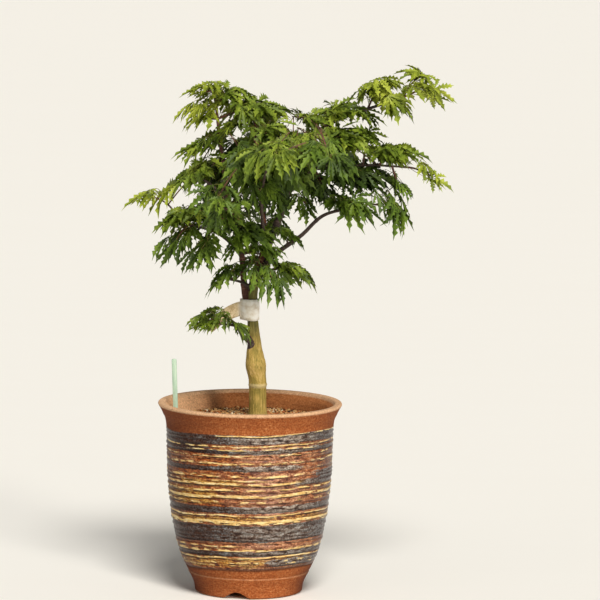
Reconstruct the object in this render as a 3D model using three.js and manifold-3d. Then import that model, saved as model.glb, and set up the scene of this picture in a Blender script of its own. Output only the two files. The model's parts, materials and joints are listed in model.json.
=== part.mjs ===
// A potted Japanese maple: a young grafted tree in a tall round stoneware pot.
//
// Millimetres, +Z up. The origin is the centre of the pot's flat underside, and -Y is the tree's front.
// The pot holds the soil, the trunk stands on the soil with a flat cut, the stems and boughs leave the trunk,
// and each bough ends inside the tuft of leaves that it carries.
import * as THREE from "three";
import { mergeVertices } from "three/addons/utils/BufferGeometryUtils.js";
import Module from "manifold-3d";

const wasm = await Module();
wasm.setup();

// ---- Driving dimensions -------------------------------------------------------------------------------

const GAP = 0.3; // clearance between neighbouring solids

const POT = {
  height: 154,
  rim: 75, // outer radius at the lip
  lipRound: 1.6,
  wall: 6.2,
  floor: 12, // thickness of the bottom
  foot: 42.6, // outer radius of the flat underside
  facets: 36,
};
// Outside of the pot from the foot up: height and radius.
const POT_OUTSIDE = [
  [7, 43.6],
  [12, 45.6],
  [20, 50.4],
  [31, 55.6],
  [46, 60],
  [68, 64],
  [98, 66.8],
  [136, 68.2],
  [147, 71.4],
];
// Inside of the pot from the lip down: height and radius.
const POT_INSIDE = [
  [146, 63.6],
  [122, 61.4],
  [60, 56.2],
  [20, 43],
  [POT.floor, 37],
];
// Arched grooves in the underside: each runs from a drain hole out through the foot.
const GROOVE = { count: 3, width: 19, height: 4.6, innerEnd: 17, firstHeading: -103 };
const DRAIN = { radius: 5, offset: 22, facets: 10 };

const SOIL = { level: 143, edgeFall: 1.6, flatRadius: 16 };
const MARKER = { at: [-57.6, -8], width: 4.4, thick: 1.1, top: 188, depth: 24, turn: 14 };

// Trunk stations from the soil up: height, centre x, centre y, radius.
const TRUNK = [
  [SOIL.level + GAP, 6.2, 0, 7.9],
  [148, 6.1, 0, 7.2],
  [158, 6, 0, 7],
  [169, 5.9, 0, 7.4],
  [177, 5.2, 0, 7.4],
  [186, 4.1, 0, 8.3],
  [194, 3.4, 0, 7],
  [203, 2.8, 0, 5.6],
  [216, 1.9, 0, 4.7],
  [230, 1, 0, 4.3],
  [243, 1, 0, 4.2],
  [254, 2.4, 0, 4.1],
  [264, 4.2, 0, 3.7],
];

const ROUND = { trunkSides: 10, trunkRings: 15, limbSides: 6, limbRingsPerPoint: 2 };

// Stems and boughs: the points each runs through, the limb it grows from, and its radius at root and tip.
const LIMBS = [
  {
    name: "stem_left",
    from: "trunk",
    path: [[0.4, 1, 228], [-5, 0.5, 243], [-8.4, -2, 278], [-17.9, -4, 316], [-25, 0, 358], [-31, 2, 406]],
    radius: [2.9, 1.2],
  },
  {
    name: "stem_middle",
    from: "trunk",
    path: [[3.8, 1, 259], [10.8, 3, 286], [7.2, 3, 316], [3.6, 4, 348], [2, 4, 384]],
    radius: [2.7, 1.1],
  },
  {
    name: "stem_right",
    from: "trunk",
    path: [[4.4, 2, 259], [18.7, 5, 297], [26.6, 6, 317], [32, 6, 336], [43, 4, 359], [62, 0, 383],
      [122, -8, 406]],
    radius: [3.5, 1],
  },
  {
    name: "bough_right_low",
    from: "trunk",
    path: [[4, -2, 260], [20.5, -3, 277.5], [40, -6, 292.5], [58, -10, 309.5], [84, -22, 318]],
    radius: [2.3, 1.1],
  },
  {
    name: "bough_right_mid",
    from: "stem_right",
    path: [[37, 5, 346], [60, -2, 347], [91, -8, 350.5], [120, -13, 350]],
    radius: [1.7, 0.9],
  },
  {
    name: "bough_right_front",
    from: "stem_right",
    path: [[32, 6, 333], [46, -24, 346], [64, -56, 357]],
    radius: [1.7, 0.9],
  },
  {
    name: "bough_right_back",
    from: "stem_right",
    path: [[31, 6, 329], [46, 30, 340], [68, 50, 350]],
    radius: [1.7, 0.9],
  },
  {
    name: "bough_left_low",
    from: "stem_left",
    path: [[-8.4, -2, 278], [-28, -8, 294], [-56, -15, 303]],
    radius: [1.7, 0.9],
  },
  {
    name: "bough_left_mid",
    from: "stem_left",
    path: [[-18, -4, 317], [-30, -4, 330], [-46, -4, 341]],
    radius: [1.5, 0.9],
  },
  {
    name: "bough_left_front",
    from: "stem_left",
    path: [[-12, -3, 294], [-18, -28, 312], [-28, -56, 325]],
    radius: [1.5, 0.9],
  },
  {
    name: "bough_left_back",
    from: "stem_left",
    path: [[-11, -3, 290], [-17, 26, 306], [-34, 50, 330]],
    radius: [1.6, 0.9],
  },
  {
    name: "bough_middle_front",
    from: "stem_middle",
    path: [[10.6, 3, 288], [9, -16, 299], [8, -34, 330], [13, -60, 356]],
    radius: [1.7, 0.9],
  },
  {
    name: "bough_middle_back",
    from: "stem_middle",
    path: [[9.4, 3, 300], [10, 32, 326], [7, 62, 350]],
    radius: [1.8, 0.9],
  },
  {
    name: "bough_low_left",
    from: "trunk",
    path: [[1.4, 0, 248], [-8, -6, 254], [-20, -10, 257]],
    radius: [1.5, 0.9],
  },
  {
    name: "bough_low_right",
    from: "trunk",
    path: [[3, 0, 254], [14, -9, 264], [29, -13, 267]],
    radius: [1.5, 0.9],
  },
  {
    name: "shoot_low",
    from: "trunk",
    path: [[2.6, 0, 202], [-5.8, -3.6, 209], [-11, -9, 218], [-26, -15, 221]],
    radius: [1.9, 0.9],
  },
];

// Tufts of leaves: centre, half length, width and thickness, heading in plan (0 is +X, 90 is +Y) and dip of
// the outer end, in degrees.
const TUFTS = [
  { name: "leaves_left_tip", at: [-80, -9, 320], half: [25, 13, 8], heading: -167, dip: 22 },
  { name: "leaves_left_reach", at: [-58, -16, 305], half: [25, 17, 8], heading: -166, dip: 24 },
  { name: "leaves_left_hang", at: [-63, -18, 282], half: [24, 17, 9], heading: -163, dip: 45 },
  { name: "leaves_left_drop", at: [-41, -31, 278], half: [22, 17, 10], heading: -142, dip: 63 },
  { name: "leaves_left_body", at: [-40, 7, 304], half: [22, 20, 13], heading: 170, dip: 6 },
  { name: "leaves_left_shelf", at: [-45, -4, 339], half: [23, 20, 9], heading: -169, dip: 19 },
  { name: "leaves_left_upper", at: [-38, 0, 360], half: [23, 22, 9], heading: -170, dip: 22 },
  { name: "leaves_left_eave", at: [-40, -4, 389], half: [20, 16, 7], heading: -168, dip: 18 },
  { name: "leaves_crest_left", at: [-38, 2, 410], half: [17, 14, 7], heading: -173, dip: -8 },
  { name: "leaves_crest_middle", at: [-8, 6, 405], half: [17, 16, 7], heading: -7, dip: 4 },
  { name: "leaves_brow", at: [6, -1, 388], half: [33, 24, 9], heading: -5, dip: -2 },
  { name: "leaves_heart_left", at: [-7, -28, 351], half: [28, 21, 17], heading: -122, dip: 75 },
  { name: "leaves_heart_middle", at: [32, -30, 363], half: [28, 22, 18], heading: -60, dip: 76 },
  { name: "leaves_heart_low", at: [3, -23, 292], half: [24, 17, 11], heading: -4, dip: 4 },
  { name: "leaves_low_left", at: [-22, -10, 254], half: [21, 16, 8], heading: -169, dip: 23 },
  { name: "leaves_low_middle", at: [15, -27, 260], half: [22, 16, 10], heading: -28, dip: 56 },
  { name: "leaves_low_right", at: [32, -13, 264], half: [21, 16, 8], heading: -8, dip: 16 },
  { name: "leaves_arm_tip", at: [140, -14, 407], half: [21, 13, 7], heading: -11, dip: 14 },
  { name: "leaves_arm_peak", at: [133, -4, 423], half: [15, 11, 6], heading: 171, dip: -28 },
  { name: "leaves_arm_middle", at: [103, -6, 409], half: [24, 17, 8], heading: -5, dip: -11 },
  { name: "leaves_arm_eave", at: [116, -16, 394], half: [21, 13, 7], heading: -11, dip: 17 },
  { name: "leaves_arm_root", at: [65, -3, 391], half: [22, 22, 10], heading: -3, dip: -23 },
  { name: "leaves_right_upper", at: [77, -22, 372], half: [28, 22, 10], heading: -8, dip: 3 },
  { name: "leaves_right_middle", at: [111, -13, 355], half: [29, 20, 9], heading: -6, dip: 0 },
  { name: "leaves_right_tip", at: [142, -19, 343], half: [21, 12, 7], heading: -10, dip: 38 },
  { name: "leaves_right_body", at: [81, -3, 338], half: [38, 29, 13], heading: -5, dip: 8 },
  { name: "leaves_right_low", at: [85, -28, 313], half: [29, 20, 9], heading: -12, dip: 14 },
  { name: "leaves_right_drop", at: [116, -13, 310], half: [24, 14, 9], heading: -17, dip: 62 },
  { name: "leaves_inner_drop", at: [46, 4, 319], half: [19, 14, 9], heading: -16, dip: 57 },
  { name: "leaves_shoot_left", at: [-34, -18, 217], half: [21, 13, 7], heading: -167, dip: 31 },
  { name: "leaves_shoot_right", at: [-7, -20, 217], half: [15, 10, 7], heading: -10, dip: 34 },
  { name: "leaves_back_left", at: [-35, 56, 331], half: [29, 26, 15], heading: 156, dip: 16 },
  { name: "leaves_back_middle", at: [7, 68, 352], half: [26, 32, 18], heading: 91, dip: 12 },
  { name: "leaves_back_right", at: [72, 54, 349], half: [32, 28, 14], heading: 21, dip: 12 },
  { name: "leaves_back_low", at: [-14, 44, 299], half: [25, 26, 13], heading: 113, dip: 24 },
  { name: "leaves_back_crest", at: [-8, 40, 384], half: [20, 26, 10], heading: 132, dip: 4 },
  { name: "leaves_front_left", at: [-30, -62, 323], half: [20, 22, 11], heading: -118, dip: 22 },
  { name: "leaves_front_middle", at: [14, -68, 358], half: [24, 24, 11], heading: -106, dip: 28 },
  { name: "leaves_front_right", at: [66, -63, 354], half: [22, 22, 10], heading: -63, dip: 30 },
];
const TUFT_SHAPE = {
  detail: 1,
  uneven: 0.06, // how far the surface swells and dents, as a share of its size
  sag: 0.16, // how far the rim sags below the middle, as a share of the half length
};

// The nursery tag: a loop of strap round both stems, and its tail, which falls away to the left.
const TAG = {
  centre: [-1.1, 0.3],
  loop: [7.7, 6], // half sizes of the loop, outside
  thick: 0.8,
  height: 18,
  bottom: 222.5,
  tail: { length: 25, height: 13, drop: 15.5, forward: 5 },
};

const COLOURS = {
  clay: [0x9c5a34, 0.85],
  soil: [0x9a6a3c, 0.95],
  bark: [0x8a7a3c, 0.8],
  twig: [0x5a3a28, 0.8],
  leaf: [0x3f6a1e, 0.6],
  tag: [0xeeeae0, 0.5],
  marker: [0xbfd8bf, 0.45],
};

// ---- From geometry to solid and back --------------------------------------------------------------------

function solidOf(geometry) {
  const bare = geometry.clone();
  bare.deleteAttribute("normal");
  bare.deleteAttribute("uv");
  const merged = mergeVertices(bare, 1e-4);
  return new wasm.Manifold(
    new wasm.Mesh({
      numProp: 3,
      vertProperties: new Float32Array(merged.attributes.position.array),
      triVerts: new Uint32Array(merged.index.array),
    }),
  );
}

function geometryOf(solid) {
  const mesh = solid.getMesh();
  const geometry = new THREE.BufferGeometry();
  geometry.setAttribute("position", new THREE.BufferAttribute(mesh.vertProperties, 3));
  geometry.setIndex(new THREE.BufferAttribute(mesh.triVerts, 1));
  geometry.computeVertexNormals();
  return geometry;
}

// The largest body of a solid, without the slivers that a cut may leave.
function mainBody(solid) {
  return solid.decompose().sort((a, b) => b.volume() - a.volume())[0];
}

// Moves every vertex of a geometry with a function that changes the point it is given.
function reshape(geometry, move) {
  const position = geometry.getAttribute("position");
  const point = new THREE.Vector3();
  for (let i = 0; i < position.count; i++) {
    point.fromBufferAttribute(position, i);
    move(point);
    position.setXYZ(i, point.x, point.y, point.z);
  }
  return geometry;
}

// A lathe about Z from [height, radius] pairs.
function latheAboutZ(profile) {
  const points = profile.map(([z, r]) => new THREE.Vector2(r, z));
  return new THREE.LatheGeometry(points, POT.facets).rotateX(Math.PI / 2);
}

// ---- Pot, soil and marker -------------------------------------------------------------------------------

function potSolid() {
  const { height, rim, lipRound, wall, foot, floor } = POT;
  const outline = [
    [0, 0],
    [0, foot - 1],
    [1, foot],
    ...POT_OUTSIDE,
    [height - lipRound, rim],
    [height, rim - lipRound],
    [height, rim - wall + lipRound],
    [height - lipRound, rim - wall],
    ...POT_INSIDE,
    [floor, 0],
  ];
  let pot = solidOf(latheAboutZ(outline));
  for (let i = 0; i < GROOVE.count; i++) {
    const heading = THREE.MathUtils.degToRad(GROOVE.firstHeading + (i * 360) / GROOVE.count);
    const drain = new THREE.CylinderGeometry(DRAIN.radius, DRAIN.radius, 3 * floor, DRAIN.facets);
    drain.rotateX(Math.PI / 2).translate(DRAIN.offset, 0, 0);
    pot = pot.subtract(solidOf(grooveCutter().rotateZ(heading)));
    pot = pot.subtract(solidOf(drain.rotateZ(heading)));
  }
  return pot;
}

// The space of one groove: an arch with flared feet, extruded along +X and past the foot's edge.
function grooveCutter() {
  const { width, height, innerEnd } = GROOVE;
  const half = width / 2;
  const below = -1;
  const arch = new THREE.Shape();
  arch.moveTo(-half, below);
  arch.lineTo(half, below);
  arch.lineTo(half, 0);
  arch.bezierCurveTo(half * 0.5, height * 0.3, half * 0.6, height, 0, height);
  arch.bezierCurveTo(-half * 0.6, height, -half * 0.5, height * 0.3, -half, 0);
  const options = { depth: POT.rim - innerEnd, bevelEnabled: false, curveSegments: 5 };
  const cutter = new THREE.ExtrudeGeometry(arch, options);
  return cutter.rotateX(Math.PI / 2).rotateZ(Math.PI / 2).translate(innerEnd, 0, 0);
}

// The soil fills the pot to its level, is flat round the trunk and falls a little towards the wall.
function soilSolid() {
  const wallBelow = POT_INSIDE.filter(([z]) => z < SOIL.level).map(([z, r]) => [z, r - GAP]);
  const [floorRing, ...ringsUp] = wallBelow.reverse();
  const outline = [
    [POT.floor + GAP, 0],
    [POT.floor + GAP, floorRing[1]],
    ...ringsUp,
    [SOIL.level - SOIL.edgeFall, POT_INSIDE[0][1] - 2 * GAP],
    [SOIL.level, SOIL.flatRadius],
    [SOIL.level, 0],
  ];
  return mainBody(solidOf(latheAboutZ(outline)).subtract(markerSolid(GAP)));
}

function markerSolid(grow) {
  const { at, width, thick, top, depth, turn } = MARKER;
  const height = top - SOIL.level + depth;
  const slip = new THREE.BoxGeometry(width + 2 * grow, thick + 2 * grow, height + 2 * grow);
  slip.rotateZ(THREE.MathUtils.degToRad(turn)).translate(...at, top - height / 2);
  return solidOf(slip);
}

// ---- Trunk, stems and boughs ----------------------------------------------------------------------------

// The trunk rises from its flat cut on the soil to the fork, swelling and leaning as its stations say.
function trunkSolid(grow) {
  const [low, high] = [TRUNK[0][0], TRUNK.at(-1)[0] + grow];
  const cylinder = new THREE.CylinderGeometry(1, 1, 1, ROUND.trunkSides, ROUND.trunkRings);
  cylinder.rotateX(Math.PI / 2);
  reshape(cylinder, (p) => {
    const z = THREE.MathUtils.lerp(low, high, p.z + 0.5);
    const [x, y, radius] = trunkAt(z);
    p.set(x + p.x * (radius + grow), y + p.y * (radius + grow), z);
  });
  return solidOf(cylinder);
}

// Centre x, centre y and radius of the trunk at a height, between its two nearest stations.
function trunkAt(z) {
  const above = TRUNK.findIndex((station) => station[0] >= z);
  const upper = above < 0 ? TRUNK.at(-1) : TRUNK[above];
  const lower = TRUNK[Math.max(0, (above < 0 ? TRUNK.length : above) - 1)];
  const share = upper === lower ? 0 : Math.min(1, (z - lower[0]) / (upper[0] - lower[0]));
  return [1, 2, 3].map((i) => THREE.MathUtils.lerp(lower[i], upper[i], share));
}

// One tapering limb: a closed cylinder whose rings are laid along the curve through its points.
function limbSolid(limb, grow) {
  const curve = new THREE.CatmullRomCurve3(limb.path.map((p) => new THREE.Vector3(...p)));
  const [root, tip] = limb.radius;
  const rings = ROUND.limbRingsPerPoint * limb.path.length;
  const frames = curve.computeFrenetFrames(rings, false);
  const cylinder = new THREE.CylinderGeometry(1, 1, 1, ROUND.limbSides, rings);
  reshape(cylinder, (p) => {
    const share = p.y + 0.5;
    const ring = Math.round(share * rings);
    const radius = THREE.MathUtils.lerp(root, tip, share) + grow;
    const [across, along] = [p.x * radius, p.z * radius];
    p.copy(curve.getPointAt(share));
    p.addScaledVector(frames.normals[ring], across);
    p.addScaledVector(frames.binormals[ring], -along);
  });
  return solidOf(cylinder);
}

// ---- Tufts of leaves --------------------------------------------------------------------------------------

// A number from 0 to 1 that depends only on two whole numbers.
function chance(a, b) {
  const s = Math.sin(a * 12.9898 + b * 78.233) * 43758.5453;
  return s - Math.floor(s);
}

// An uneven flattened ball, its rim sagging, turned to its heading and dip.
function tuftSolid(tuft, order, grow) {
  const [length, width, thick] = tuft.half.map((h) => h + grow);
  const turn = new THREE.Euler(
    0,
    THREE.MathUtils.degToRad(tuft.dip),
    THREE.MathUtils.degToRad(tuft.heading),
    "ZYX",
  );
  const phase = [0, 1, 2].map((i) => 2 * Math.PI * chance(order, i));
  const ball = mergeVertices(new THREE.IcosahedronGeometry(1, TUFT_SHAPE.detail).deleteAttribute("uv"), 1e-4);
  reshape(ball, (p) => {
    const wave =
      Math.sin(3 * p.x + 2 * p.y + phase[0]) +
      Math.sin(4 * p.y - 3 * p.z + phase[1]) +
      Math.sin(5 * p.z + 2 * p.x + phase[2]);
    const swell = 1 + TUFT_SHAPE.uneven * wave;
    const sag = TUFT_SHAPE.sag * length * (p.x * p.x + 0.6 * p.y * p.y - 0.5);
    p.set(p.x * length * swell, p.y * width * swell, p.z * thick * swell);
    p.applyEuler(turn);
    p.z -= sag * Math.cos(turn.y);
    p.add(new THREE.Vector3(...tuft.at));
  });
  return solidOf(ball);
}

// ---- Nursery tag ------------------------------------------------------------------------------------------

// An oval ring round the stems, and a tail that leaves its left end and falls, ever more steeply, as it goes.
function tagSolid(grow) {
  const [cx, cy] = TAG.centre;
  const [a, b] = TAG.loop;
  const outline = new THREE.Shape();
  outline.absellipse(cx, cy, a + grow, b + grow, 0, 2 * Math.PI, false, 0);
  const hole = new THREE.Path();
  hole.absellipse(cx, cy, a - TAG.thick - grow, b - TAG.thick - grow, 0, 2 * Math.PI, true, 0);
  outline.holes.push(hole);
  const options = { depth: TAG.height + 2 * grow, bevelEnabled: false, curveSegments: 8 };
  const ring = solidOf(new THREE.ExtrudeGeometry(outline, options).translate(0, 0, -grow));
  const startX = cx - a + TAG.thick / 2;
  const length = TAG.tail.length + grow;
  const tail = new THREE.BoxGeometry(length, TAG.thick + 2 * grow, TAG.tail.height + 2 * grow, 8, 1, 1);
  tail.translate(startX - length / 2, cy, TAG.height / 2);
  reshape(tail, (p) => {
    const out = Math.max(0, startX - p.x) / TAG.tail.length;
    p.y -= TAG.tail.forward * out * out;
    p.z -= (TAG.tail.drop * out * (1 + 2 * out)) / 3;
  });
  return ring.add(solidOf(tail)).translate([0, 0, TAG.bottom]);
}

// ---- Assembly ---------------------------------------------------------------------------------------------

const maple = new THREE.Group();

function place(name, solid, [colour, roughness]) {
  const material = new THREE.MeshStandardMaterial({ color: colour, roughness, metalness: 0 });
  const mesh = new THREE.Mesh(geometryOf(solid), material);
  mesh.name = name;
  maple.add(mesh);
}

place("pot", potSolid(), COLOURS.clay);
place("soil", soilSolid(), COLOURS.soil);
place("plant_marker", markerSolid(0), COLOURS.marker);
place("trunk", trunkSolid(0), COLOURS.bark);

// Each limb stops short of the ones placed before it. The tag is cut round the limbs, and each tuft round
// the limbs, the tag and the earlier tufts.
let standing = trunkSolid(GAP);
for (const limb of LIMBS) {
  place(limb.name, mainBody(limbSolid(limb, 0).subtract(standing)), COLOURS.twig);
  standing = standing.add(limbSolid(limb, GAP));
}
place("nursery_tag", mainBody(tagSolid(0).subtract(standing)), COLOURS.tag);
standing = standing.add(tagSolid(GAP));
TUFTS.forEach((tuft, order) => {
  place(tuft.name, mainBody(tuftSolid(tuft, order, 0).subtract(standing)), COLOURS.leaf);
  standing = standing.add(tuftSolid(tuft, order, GAP));
});

export default maple;
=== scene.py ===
import functools
import json
import math
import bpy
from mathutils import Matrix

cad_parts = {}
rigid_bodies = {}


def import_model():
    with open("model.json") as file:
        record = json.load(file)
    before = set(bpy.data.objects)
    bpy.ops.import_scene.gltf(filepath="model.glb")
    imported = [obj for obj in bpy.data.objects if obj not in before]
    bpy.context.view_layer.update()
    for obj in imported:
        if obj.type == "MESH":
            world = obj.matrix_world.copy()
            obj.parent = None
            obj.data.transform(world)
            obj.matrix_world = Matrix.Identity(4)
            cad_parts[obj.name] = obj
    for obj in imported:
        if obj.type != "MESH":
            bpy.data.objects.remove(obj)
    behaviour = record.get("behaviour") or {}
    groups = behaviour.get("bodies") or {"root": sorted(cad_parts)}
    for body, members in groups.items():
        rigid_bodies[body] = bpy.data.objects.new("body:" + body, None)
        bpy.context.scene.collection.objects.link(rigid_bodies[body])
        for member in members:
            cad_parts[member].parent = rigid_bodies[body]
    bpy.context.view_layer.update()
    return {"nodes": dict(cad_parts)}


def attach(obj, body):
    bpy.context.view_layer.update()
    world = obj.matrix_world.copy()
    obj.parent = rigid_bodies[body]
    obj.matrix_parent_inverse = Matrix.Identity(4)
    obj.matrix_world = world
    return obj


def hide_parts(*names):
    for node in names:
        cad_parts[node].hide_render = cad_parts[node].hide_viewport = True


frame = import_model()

from types import SimpleNamespace

import bmesh
import bpy
import numpy as np
from mathutils import Matrix, Vector, kdtree, noise

# ---- Table top, light and camera -----------------------------------------------------------------------
# A plain pale table top that runs on past the view, in a softly lit room: a high key light in front, a low
# window to its right, a weak fill from the left, and even light from all round.

MM = 0.001  # sizes in this file are millimetres, and meshes are made in metres

# The camera stands well back in front: its place and focal length, and its tilt down and roll in degrees.
CAMERA = {"at": (39.6, -4000, 746), "lens": 298, "pitch": 7.222, "roll": 0.62}
TABLE_TOP = {"half_side": 15000, "drop": 0.3, "colour": "f9f6f0"}
ROOM = {"colour": "fffefb", "strength": 0.22}
# Each light: heading round the plant from the front towards the right and height above it in degrees, the
# angle that it fills in the sky, its strength and its colour.
SUNS = {
    "key": {"heading": 12, "height": 52, "softness": 20, "strength": 2.65, "colour": "fffdf8"},
    "window": {"heading": 32, "height": 12, "softness": 12, "strength": 1.3, "colour": "fffaf0"},
    "fill": {"heading": -45, "height": 34, "softness": 40, "strength": 0.1, "colour": "fffefb"},
}


def paint(code):
    """The linear colour of an sRGB hex code."""
    parts = [int(code[i : i + 2], 16) / 255 for i in (0, 2, 4)]
    return (*[p / 12.92 if p <= 0.04045 else ((p + 0.055) / 1.055) ** 2.4 for p in parts], 1)


class Value:
    """What a node gives out. Arithmetic on it adds Math nodes, or Vector Math nodes on a vector."""

    def __init__(self, graph, socket):
        self.graph = graph
        self.socket = socket

    def _maths(self, operation, *operands):
        is_vector = any(
            isinstance(v, tuple) or isinstance(v, Value) and v.socket.type == "VECTOR" for v in operands
        )
        kind = "ShaderNodeVectorMath" if is_vector else "ShaderNodeMath"
        return self.graph.node(kind, {"operation": operation}, dict(enumerate(operands)))

    def __add__(self, other):
        return self._maths("ADD", self, other)

    def __sub__(self, other):
        return self._maths("SUBTRACT", self, other)

    def __rsub__(self, other):
        return self._maths("SUBTRACT", other, self)

    def __mul__(self, other):
        return self._maths("MULTIPLY", self, other)

    def __abs__(self):
        return self._maths("ABSOLUTE", self)

    def most(self, other):
        return self._maths("MAXIMUM", self, other)

    __radd__ = __add__
    __rmul__ = __mul__


class Graph:
    """Adds nodes to one node tree."""

    def __init__(self, tree):
        self.tree = tree

    def node(self, kind, settings=None, sockets=None, out=None):
        """A new node: its settings first, then a value or a link in each socket, found by name or number."""
        made = self.tree.nodes.new(kind)
        for name, setting in (settings or {}).items():
            if name == "stops":
                for _ in setting[2:]:
                    made.color_ramp.elements.new(0.5)
                for stop, (at, shade) in zip(made.color_ramp.elements, setting):
                    stop.position = at
                    stop.color = shade
            else:
                setattr(made, name, setting)
        usable = [s for s in made.inputs if s.enabled]
        for name, value in (sockets or {}).items():
            socket = usable[name] if isinstance(name, int) else next(s for s in usable if s.name == name)
            if isinstance(value, Value):
                self.tree.links.new(value.socket, socket)
            else:
                socket.default_value = value
        given = [s for s in made.outputs if s.enabled and out in (None, s.name)]
        return Value(self, given[0]) if given else None

    def place(self):
        """Where a point lies on the object, in millimetres."""
        metres = self.node("ShaderNodeTexCoord", out="Object")
        return metres * (1 / MM, 1 / MM, 1 / MM)

    def part(self, vector, axis):
        """X, Y or Z of a vector."""
        return self.node("ShaderNodeSeparateXYZ", {}, {"Vector": vector}, out=axis)

    def upwards(self, height):
        """The vector along Z of a height."""
        return self.node("ShaderNodeCombineXYZ", {}, {"Z": height})

    def attribute(self, name, out="Fac"):
        return self.node("ShaderNodeAttribute", {"attribute_name": name}, out=out)

    def noise(self, vector, detail=4, roughness=0.55, seed=0):
        """Cloudy noise, with one swell about every millimetre of the vector, from 0 to 1."""
        sockets = {"Vector": vector + (seed, 2 * seed, 3 * seed), "Detail": detail, "Roughness": roughness}
        return self.node("ShaderNodeTexNoise", {}, {**sockets, "Scale": 1.0}, out="Fac")

    def step(self, value, low, high):
        """0 below low and 1 above high, with a smooth rise between. With high under low it falls."""
        settings = {"interpolation_type": "SMOOTHSTEP"}
        return self.node("ShaderNodeMapRange", settings, {"Value": value, "From Min": low, "From Max": high})

    def mix(self, factor, first, second, blend="MIX"):
        settings = {"data_type": "RGBA", "blend_type": blend}
        return self.node("ShaderNodeMix", settings, {"Factor": factor, "A": first, "B": second})

    def shades(self, value, *stops):
        """A colour for each value: stops are (value, hex code)."""
        table = [(at, paint(code)) for at, code in stops]
        return self.node("ShaderNodeValToRGB", {"stops": table}, {"Fac": value}, out="Color")

    def relief(self, height, strength=1.0):
        """A normal for a height in millimetres."""
        return self.node("ShaderNodeBump", {}, {"Height": height, "Distance": MM, "Strength": strength})

    def surface(self, **sockets):
        """A Principled surface. A socket's name is given with _ for each space."""
        named = {name.replace("_", " "): value for name, value in sockets.items()}
        shader = self.node("ShaderNodeBsdfPrincipled", {}, named)
        self.node("ShaderNodeOutputMaterial", {}, {"Surface": shader})


def new_material(name):
    material = bpy.data.materials.new(name)
    material.use_nodes = True
    material.node_tree.nodes.clear()
    return material, Graph(material.node_tree)


def new_object(name, points, faces=(), edges=(), material=None):
    """A smooth mesh object from points in millimetres."""
    mesh = bpy.data.meshes.new(name)
    mesh.from_pydata((np.asarray(points, float) * MM).tolist(), list(edges), [tuple(f) for f in faces])
    mesh.validate()
    mesh.shade_smooth()
    if material:
        mesh.materials.append(material)
    made = bpy.data.objects.new(name, mesh)
    bpy.context.scene.collection.objects.link(made)
    return made


def table_top_material():
    material, graph = new_material("pale_table")
    grain = graph.noise(graph.place() * (0.004, 0.02, 0.01))
    colour = graph.mix(grain * 0.04, paint(TABLE_TOP["colour"]), paint("e2d8c4"))
    graph.surface(Base_Color=colour, Roughness=0.9, Specular_IOR_Level=0.1)
    return material


side = TABLE_TOP["half_side"]
floor = new_object(
    "table_top",
    [(x, y, -TABLE_TOP["drop"]) for x, y in ((-side, -side), (side, -side), (side, side), (-side, side))],
    [(0, 1, 2, 3)],
    material=table_top_material(),
)

for name, sun in SUNS.items():
    lamp = bpy.data.lights.new(name, "SUN")
    lamp.energy = sun["strength"]
    lamp.angle = math.radians(sun["softness"])
    lamp.color = paint(sun["colour"])[:3]
    light = bpy.data.objects.new(name, lamp)
    heading, height = math.radians(sun["heading"]), math.radians(sun["height"])
    level = Vector((math.sin(heading), -math.cos(heading), 0))
    towards = level * math.cos(height) + Vector((0, 0, math.sin(height)))
    light.rotation_euler = towards.to_track_quat("Z", "Y").to_euler()
    bpy.context.scene.collection.objects.link(light)

room = bpy.data.worlds.new("room")
room.use_nodes = True
backdrop = room.node_tree.nodes["Background"]
backdrop.inputs["Color"].default_value = paint(ROOM["colour"])
backdrop.inputs["Strength"].default_value = ROOM["strength"]
bpy.context.scene.world = room

camera = bpy.data.objects.new("camera", bpy.data.cameras.new("camera"))
camera.data.lens = CAMERA["lens"]
camera.data.clip_end = 100  # metres
pitch = math.radians(CAMERA["pitch"])
forward = Vector((0, math.cos(pitch), -math.sin(pitch)))
level_right = Vector((1, 0, 0))
roll = Matrix.Rotation(-math.radians(CAMERA["roll"]), 3, forward)
right = roll @ level_right
up = roll @ level_right.cross(forward)
turned = Matrix((right, up, -forward)).transposed().to_4x4()
camera.matrix_world = Matrix.Translation(Vector(CAMERA["at"]) * MM) @ turned
bpy.context.scene.collection.objects.link(camera)
bpy.context.scene.camera = camera
bpy.context.scene.view_settings.view_transform = "Standard"

# ---- Pot -----------------------------------------------------------------------------------------------
# A tall round pot thrown in coarse red stoneware. The rim and foot are bare clay. The wall between them has
# rings left by the thrower's fingers, with bands of slate-blue glaze and drawn-out strokes of cream slip.

POT = {
    "height": 155.3,
    "rim": 75,  # radius
    "lip_round": 1.6,
    "wall": 6.2,
    "floor": 12,
    "foot": 43.3,  # radius
    "ledge": 16.9,  # height of the turned ledge in the foot
    "facets": 264,
}
# Outside of the pot from the foot up, and inside from the lip down: height and radius.
POT_OUTSIDE = [
    (7, 44.3), (12, 46.4), (20, 50.8), (31, 55.6), (46, 60), (68, 64), (98, 66.8), (136, 68.2), (147, 71.4),
]
POT_INSIDE = [(146, 63.6), (122, 61.4), (60, 56.2), (20, 43), (12, 37)]
GLAZED = (25.5, 137.5)  # heights between which the wall is glazed
RING_SPACING = 3.7
RING_DEPTH = 0.48  # how far a ring stands out of the wall
# The ledge stands out from the wall above it, with a cut just above it.
LEDGE_STEP = {"out": 0.5, "cut": 0.5, "above": 0.9, "width": 0.7}
# Grooves under the foot, each with a drain hole: headings are degrees from +X.
GROOVE = {"headings": (-103, 17, 137), "width": 23, "height": 5, "inner_end": 17}
DRAIN = {"radius": 5, "offset": 22}
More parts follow.
